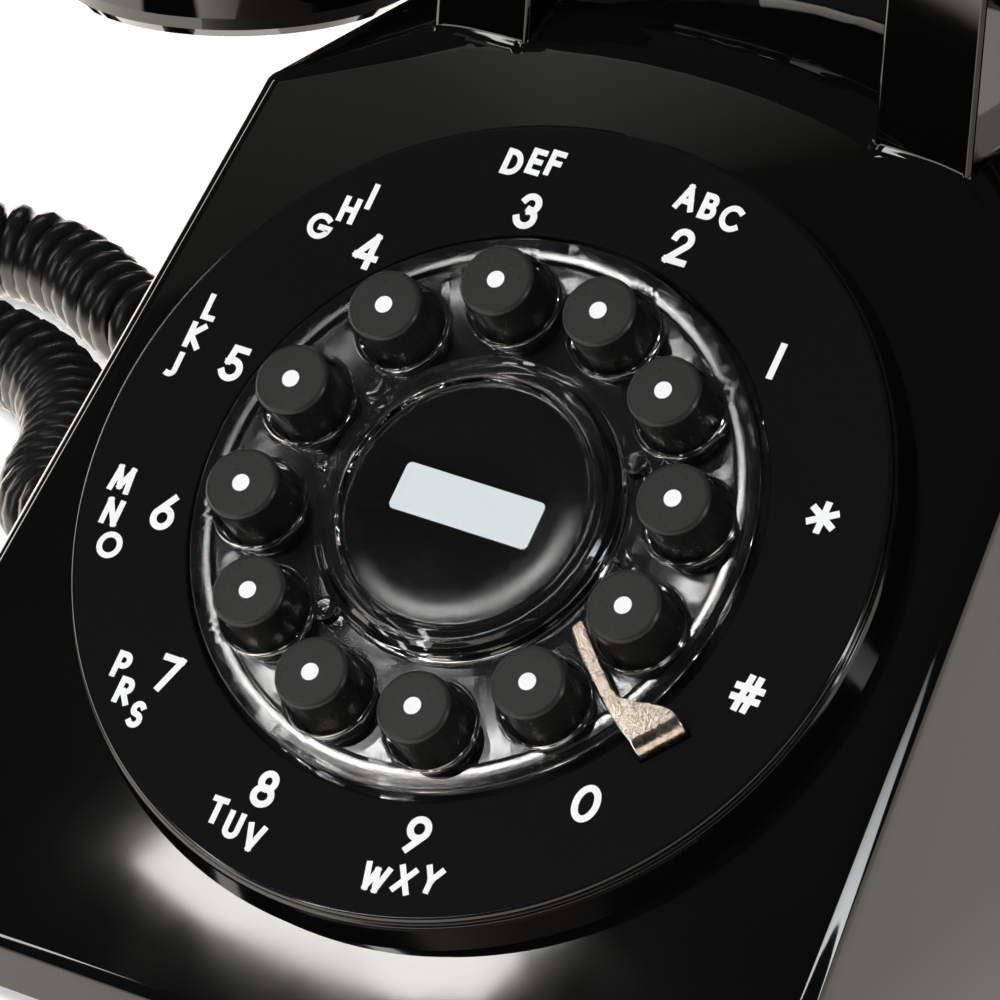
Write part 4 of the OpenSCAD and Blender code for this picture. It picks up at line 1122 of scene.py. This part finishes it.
def makeHandle():
    stations = [Vector(s) for s in gripStations()]
    last = len(stations) - 1
    spots = [i / handset["splits"] for i in range(last * handset["splits"] + 1)]
    fine = [curvePoint(stations, at) for at in spots]
    rings = [gripRing(s, -1, at) for s, at in zip(reversed(fine), reversed(spots))]
    rings += [gripRing(s, 1, at) for s, at in zip(fine, spots)]
    thing = addObject("handle", loft("handle", rings), 40)
    wall, gap = handset["capWall"], handset["gap"]
    cup, inner = handset["capRadius"] - wall - gap, handset["capRadius"] - wall - gap - handset["cupWall"]
    top = handset["capHeight"] + handset["cupTop"]
    for side in (-1, 1):
        weld(thing, post(0, 0, wall + gap, top, cup, cupFrame(side), 128))
    for side in (-1, 1):
        carve(thing, post(0, 0, -1, wall + handset["cupFloor"], inner, cupFrame(side), 128))
    end, half = cup - handset["socketInset"], handset["socketHalf"]
    start = end - handset["socketDepth"]
    pocket = [(start, -half), (end + 5, -half), (end + 5, half), (start, half)]
    low, high = handset["socketLow"] - gap, handset["socketLow"] + handset["socketHigh"]
    carve(thing, addObject("pocket", prism("pocket", pocket, low, high, cupFrame(1))))
    weightNormals(thing, 35)
    finishPiece(thing, "black_gloss", "handset", ["handset_handle"])


makeHandle()
print("handset")

studio = {
    "floorSize": 9, "floorColor": (0.86, 0.86, 0.855), "floorGlow": 0.5, "world": 0.04,
    "mirrorLeft": 3.5, "mirrorRight": 1.2, "mirrorFrom": -0.06, "mirrorTo": 0.1,
    "mirrorColor": (1.0, 0.91, 0.82), "flag": (-0.133, -0.223), "flagSize": (0.085, 0.06), "flagFade": 0.2,
    "fill": 40, "fillSize": 1.3, "fillPlace": (-0.25, -1.0, 1.75), "fillTarget": (0, 0, 0.06),
}


# Shiny surfaces see a floor that fades from left to right, with a dark flag on it
def makeFloor():
    half = studio["floorSize"] / 2
    corners = [(-half, -half, 0), (half, -half, 0), (half, half, 0), (-half, half, 0)]
    floor = addObject("floor", meshFrom("floor", corners, [(0, 1, 2, 3)], Matrix.Identity(4)))
    material = emptyMaterial("floorWhite")
    tree = material.node_tree
    plain = addNode(tree, "BsdfDiffuse", {"Color": (*studio["floorColor"], 1)})
    glow = addNode(tree, "Emission", {"Color": (*studio["mirrorColor"], 1)})
    place = addNode(tree, "TexCoord")
    (x, y), (width, depth) = studio["flag"], studio["flagSize"]
    shift = addNode(tree, "Mapping", {
        "Scale": (1 / width, 1 / depth, 1), "Location": (-x / width, -y / depth, 0),
    })
    reach = addNode(tree, "VectorMath", operation="LENGTH")
    fade = addNode(tree, "MapRange", {"From Min": 1, "From Max": 1 + studio["flagFade"]})
    apart = addNode(tree, "SeparateXYZ")
    slope = addNode(tree, "MapRange", {
        "From Min": studio["mirrorFrom"], "From Max": studio["mirrorTo"],
        "To Min": studio["mirrorLeft"], "To Max": studio["mirrorRight"],
    })
    mirror = addNode(tree, "Math", operation="MULTIPLY")
    link(place, "Object", shift, "Vector")
    link(shift, "Vector", reach, 0)
    link(reach, "Value", fade, "Value")
    link(place, "Object", apart, "Vector")
    link(apart, "X", slope, "Value")
    link(fade, "Result", mirror, 0)
    link(slope, "Result", mirror, 1)
    link(mirror, "Value", glow, "Strength")
    path = addNode(tree, "LightPath")
    lift = addNode(tree, "Emission")
    scale = addNode(tree, "Math", {1: studio["floorGlow"]}, "MULTIPLY")
    both = addNode(tree, "AddShader")
    mix = addNode(tree, "MixShader")
    link(eitherRay(path, "Is Camera Ray", "Is Transmission Ray"), "Value", scale, 0)
    link(scale, "Value", lift, "Strength")
    link(plain, "BSDF", both, 0)
    link(lift, "Emission", both, 1)
    link(path, "Is Glossy Ray", mix, "Fac")
    link(both, "Shader", mix, 1)
    link(glow, "Emission", mix, 2)
    link(mix, "Shader", addNode(tree, "OutputMaterial"), "Surface")
    floor.data.materials.append(material)


def makeWorld():
    world = bpy.data.worlds.new("studio")
    world.use_nodes = True
    tree = world.node_tree
    sky = tree.nodes["Background"]
    setSockets(sky, {"Color": (1, 1, 1, 1)})
    spread = addNode(tree, "MapRange", {"To Min": studio["world"], "To Max": 1.0})
    link(addNode(tree, "LightPath"), "Is Camera Ray", spread, "Value")
    link(spread, "Result", sky, "Strength")
    bpy.context.scene.world = world


def makeFill():
    data = bpy.data.lights.new("fill", "AREA")
    data.size = studio["fillSize"]
    data.energy = studio["fill"]
    lamp = bpy.data.objects.new("fill", data)
    bpy.context.scene.collection.objects.link(lamp)
    lamp.location = studio["fillPlace"]
    lamp.rotation_mode = "QUATERNION"
    toward = Vector(studio["fillTarget"]) - Vector(studio["fillPlace"])
    lamp.rotation_quaternion = toward.to_track_quat("-Z", "Y")
    lamp.visible_glossy = False
    lamp.visible_transmission = False


# A ray through a point of the camera's frame, in pixels
def frameRay(px, py):
    middle = cameraSpot["pixels"] / 2
    spread = cameraSpot["sensor"] / cameraSpot["lens"] / cameraSpot["pixels"]
    local = Vector(((px - middle) * spread, (middle - py) * spread, -1))
    return (camera.matrix_world.to_3x3() @ local).normalized()


def bounce(spot, ray, normal, distance):
    return spot + (ray - 2 * ray.dot(normal) * normal) * distance


# Where the ray through a point of the frame ends, mirrored by a flat face
def mirrored(px, py, onFace, normal, distance):
    start = camera.matrix_world.translation
    ray = frameRay(px, py)
    return bounce(start + ray * ((onFace - start).dot(normal) / ray.dot(normal)), ray, normal, distance)


# The same for a place on the dial
def mirroredFrom(radius, degrees, height, distance):
    spot = dialFrame @ (polar(radius, degrees) + Vector((0, 0, height)))
    ray = (spot - camera.matrix_world.translation).normalized()
    return bounce(spot, ray, faceNormal, distance)


dialMiddle = Vector((0, dial["y"] * mm, dial["height"] * mm))
faceNormal = Vector((0, -tiltSin, tiltCos))
facePoint = dialMiddle + faceNormal * dial["faceDepth"] * mm


# A card that only shiny surfaces see; each corner has its own share of the strength
def makeCard(name, values, corners, shares, panels=None):
    panels = panels or [tuple(range(len(corners)))]
    card = addObject(name, meshFrom(name, corners, panels, Matrix.Identity(4)))
    layer = card.data.attributes.new("share", "FLOAT", "POINT")
    for i, share in enumerate(shares):
        layer.data[i].value = share
    material = emptyMaterial(name + "Glow")
    tree = material.node_tree
    glow = addNode(tree, "Emission", {"Color": (*values["color"], 1)})
    attribute = addNode(tree, "Attribute")
    attribute.attribute_name = "share"
    scale = addNode(tree, "Math", {1: values["strength"]}, "MULTIPLY")
    link(attribute, "Fac", scale, 0)
    link(scale, "Value", glow, "Strength")
    link(glow, "Emission", addNode(tree, "OutputMaterial"), "Surface")
    card.data.materials.append(material)
    card.visible_camera = False
    card.visible_diffuse = False
    card.visible_shadow = False


# Cards mirrored in the face, by pixels of the frame, and cards set in a direction from the dial
faceCards = {
    "faceBox": {
        "pixels": [(190, 815), (130, 862), (165, 895), (210, 928), (300, 968), (400, 1004), (480, 1004),
                   (505, 981), (522, 965), (519, 948), (565, 932), (560, 890), (430, 890), (300, 850)],
        "height": 0, "distance": 4, "strength": 20, "color": (1.0, 0.97, 0.93), "shares": [],
    },
    "upperCard": {
        "pixels": [(-60, 420), (100, -160), (560, -60), (900, 60), (900, 150), (560, 190), (250, 250)],
        "height": 0, "distance": 0.5, "strength": 0.9, "color": (1.0, 0.98, 0.9),
        "shares": [0.2, 0.5, 1.1, 0, 0, 0.3, 0.2], "panels": [(0, 1, 6), (1, 2, 5, 6), (2, 3, 4, 5)],
    },
    "wheelCard": {
        "pixels": [(190, 600), (240, 770), (420, 840), (620, 760), (480, 690), (330, 640)],
        "height": 7.6, "distance": 1.5, "strength": 6, "color": (1.0, 0.98, 0.96),
        "shares": [0.5, 1, 0.8, 0.4, 0, 0],
    },
}
sideCards = {
    "leftStrip": {"toward": (-0.93, 0.0, 0.37), "distance": 1.2, "width": 0.07, "height": 0.6,
                  "strength": 8, "color": (1.0, 0.99, 0.97)},
    "rollStrip": {"toward": (-0.45, 0.59, 0.67), "distance": 1.2, "width": 0.5, "height": 0.06,
                  "strength": 8, "color": (1.0, 0.99, 0.96)},
}
# Ring lamps mirrored in the wheel: strength shares at a few angles round the dial, even between them
ringCards = {
    "rimRing": {
        "inner": 36.2, "outer": 39, "height": 1.4, "distance": 1.4, "strength": 36,
        "color": (1.0, 0.98, 0.96), "turnStep": 15,
        "stops": [(45, 0.2), (90, 1), (135, 0.2), (180, 0.2), (270, 1), (360, 1), (405, 0.2)],
    },
    "collarRing": {
        "inner": 17.9, "outer": 19.9, "height": 4.4, "distance": 1.35, "strength": 25,
        "color": (1.0, 0.98, 0.96), "turnStep": 15, "stops": [(225, 0), (270, 0.4), (345, 0.4), (375, 0)],
    },
}
# Each corner: a point of the frame, and how far the surface there has turned from the face
# towards the right wall, or from level towards upright
seamCard = {
    "point": (0, 0.0105, 0.109), "from": (0, 0, 1), "to": (0, -1, 0), "distance": 0.5, "strength": 12,
    "color": (1.0, 0.99, 0.97), "shares": [1, 1, 1, 1],
}
edgeCards = {
    "rightEdge": {
        "corners": [(800, 1010, 28), (800, 1010, 72), (945, 639, 48), (945, 639, 42)],
        "point": (0.067, -0.041, 0.065), "from": (0, -0.707, 0.707), "to": (0.995, 0, 0.1),
        "distance": 0.3, "strength": 14, "color": (0.95, 0.98, 1.0), "shares": [1, 1, 0.1, 0.1],
    },
    "leftSeam": {**seamCard, "corners": [(438, 28, 59), (438, 28, 78), (527, 52, 78), (527, 52, 59)]},
    "rightSeam": {**seamCard, "corners": [(871, 144, 59), (871, 144, 78), (974, 172, 78), (974, 172, 59)]},
}


def shareAt(stops, turn):
    for (start, first), (end, last) in zip(stops, stops[1:]):
        if turn <= end:
            return first + (last - first) * (turn - start) / (end - start)


def makeCards():
    for name, card in faceCards.items():
        level = facePoint + faceNormal * card["height"] * mm
        corners = [mirrored(px, py, level, faceNormal, card["distance"]) for px, py in card["pixels"]]
        makeCard(name, card, corners, card["shares"] or [1] * len(corners), card.get("panels"))
    for name, card in sideCards.items():
        toward = Vector(card["toward"]).normalized()
        place = dialMiddle + toward * card["distance"]
        across = toward.cross(Vector((0, 0, 1))).normalized() * card["width"] / 2
        rise = across.normalized().cross(toward) * card["height"] / 2
        corners = [place - across - rise, place + across - rise, place + across + rise, place - across + rise]
        makeCard(name, card, corners, [1] * 4)
    for name, card in ringCards.items():
        stops = card["stops"]
        turns = range(stops[0][0], stops[-1][0] + 1, card["turnStep"])
        corners = [mirroredFrom(card[side], turn, card["height"], card["distance"])
                   for turn in turns for side in ("inner", "outer")]
        shares = [shareAt(stops, turn) for turn in turns for _ in range(2)]
        panels = [(i, i + 1, i + 3, i + 2) for i in range(0, len(corners) - 2, 2)]
        makeCard(name, card, corners, shares, panels)
    for name, card in edgeCards.items():
        corners = []
        for px, py, turn in card["corners"]:
            share = math.radians(turn)
            normal = Vector(card["from"]) * math.cos(share) + Vector(card["to"]) * math.sin(share)
            corners.append(mirrored(px, py, Vector(card["point"]), normal.normalized(), card["distance"]))
        makeCard(name, card, corners, card["shares"])


makeFloor()
makeWorld()
makeFill()
makeCards()
print("studio")
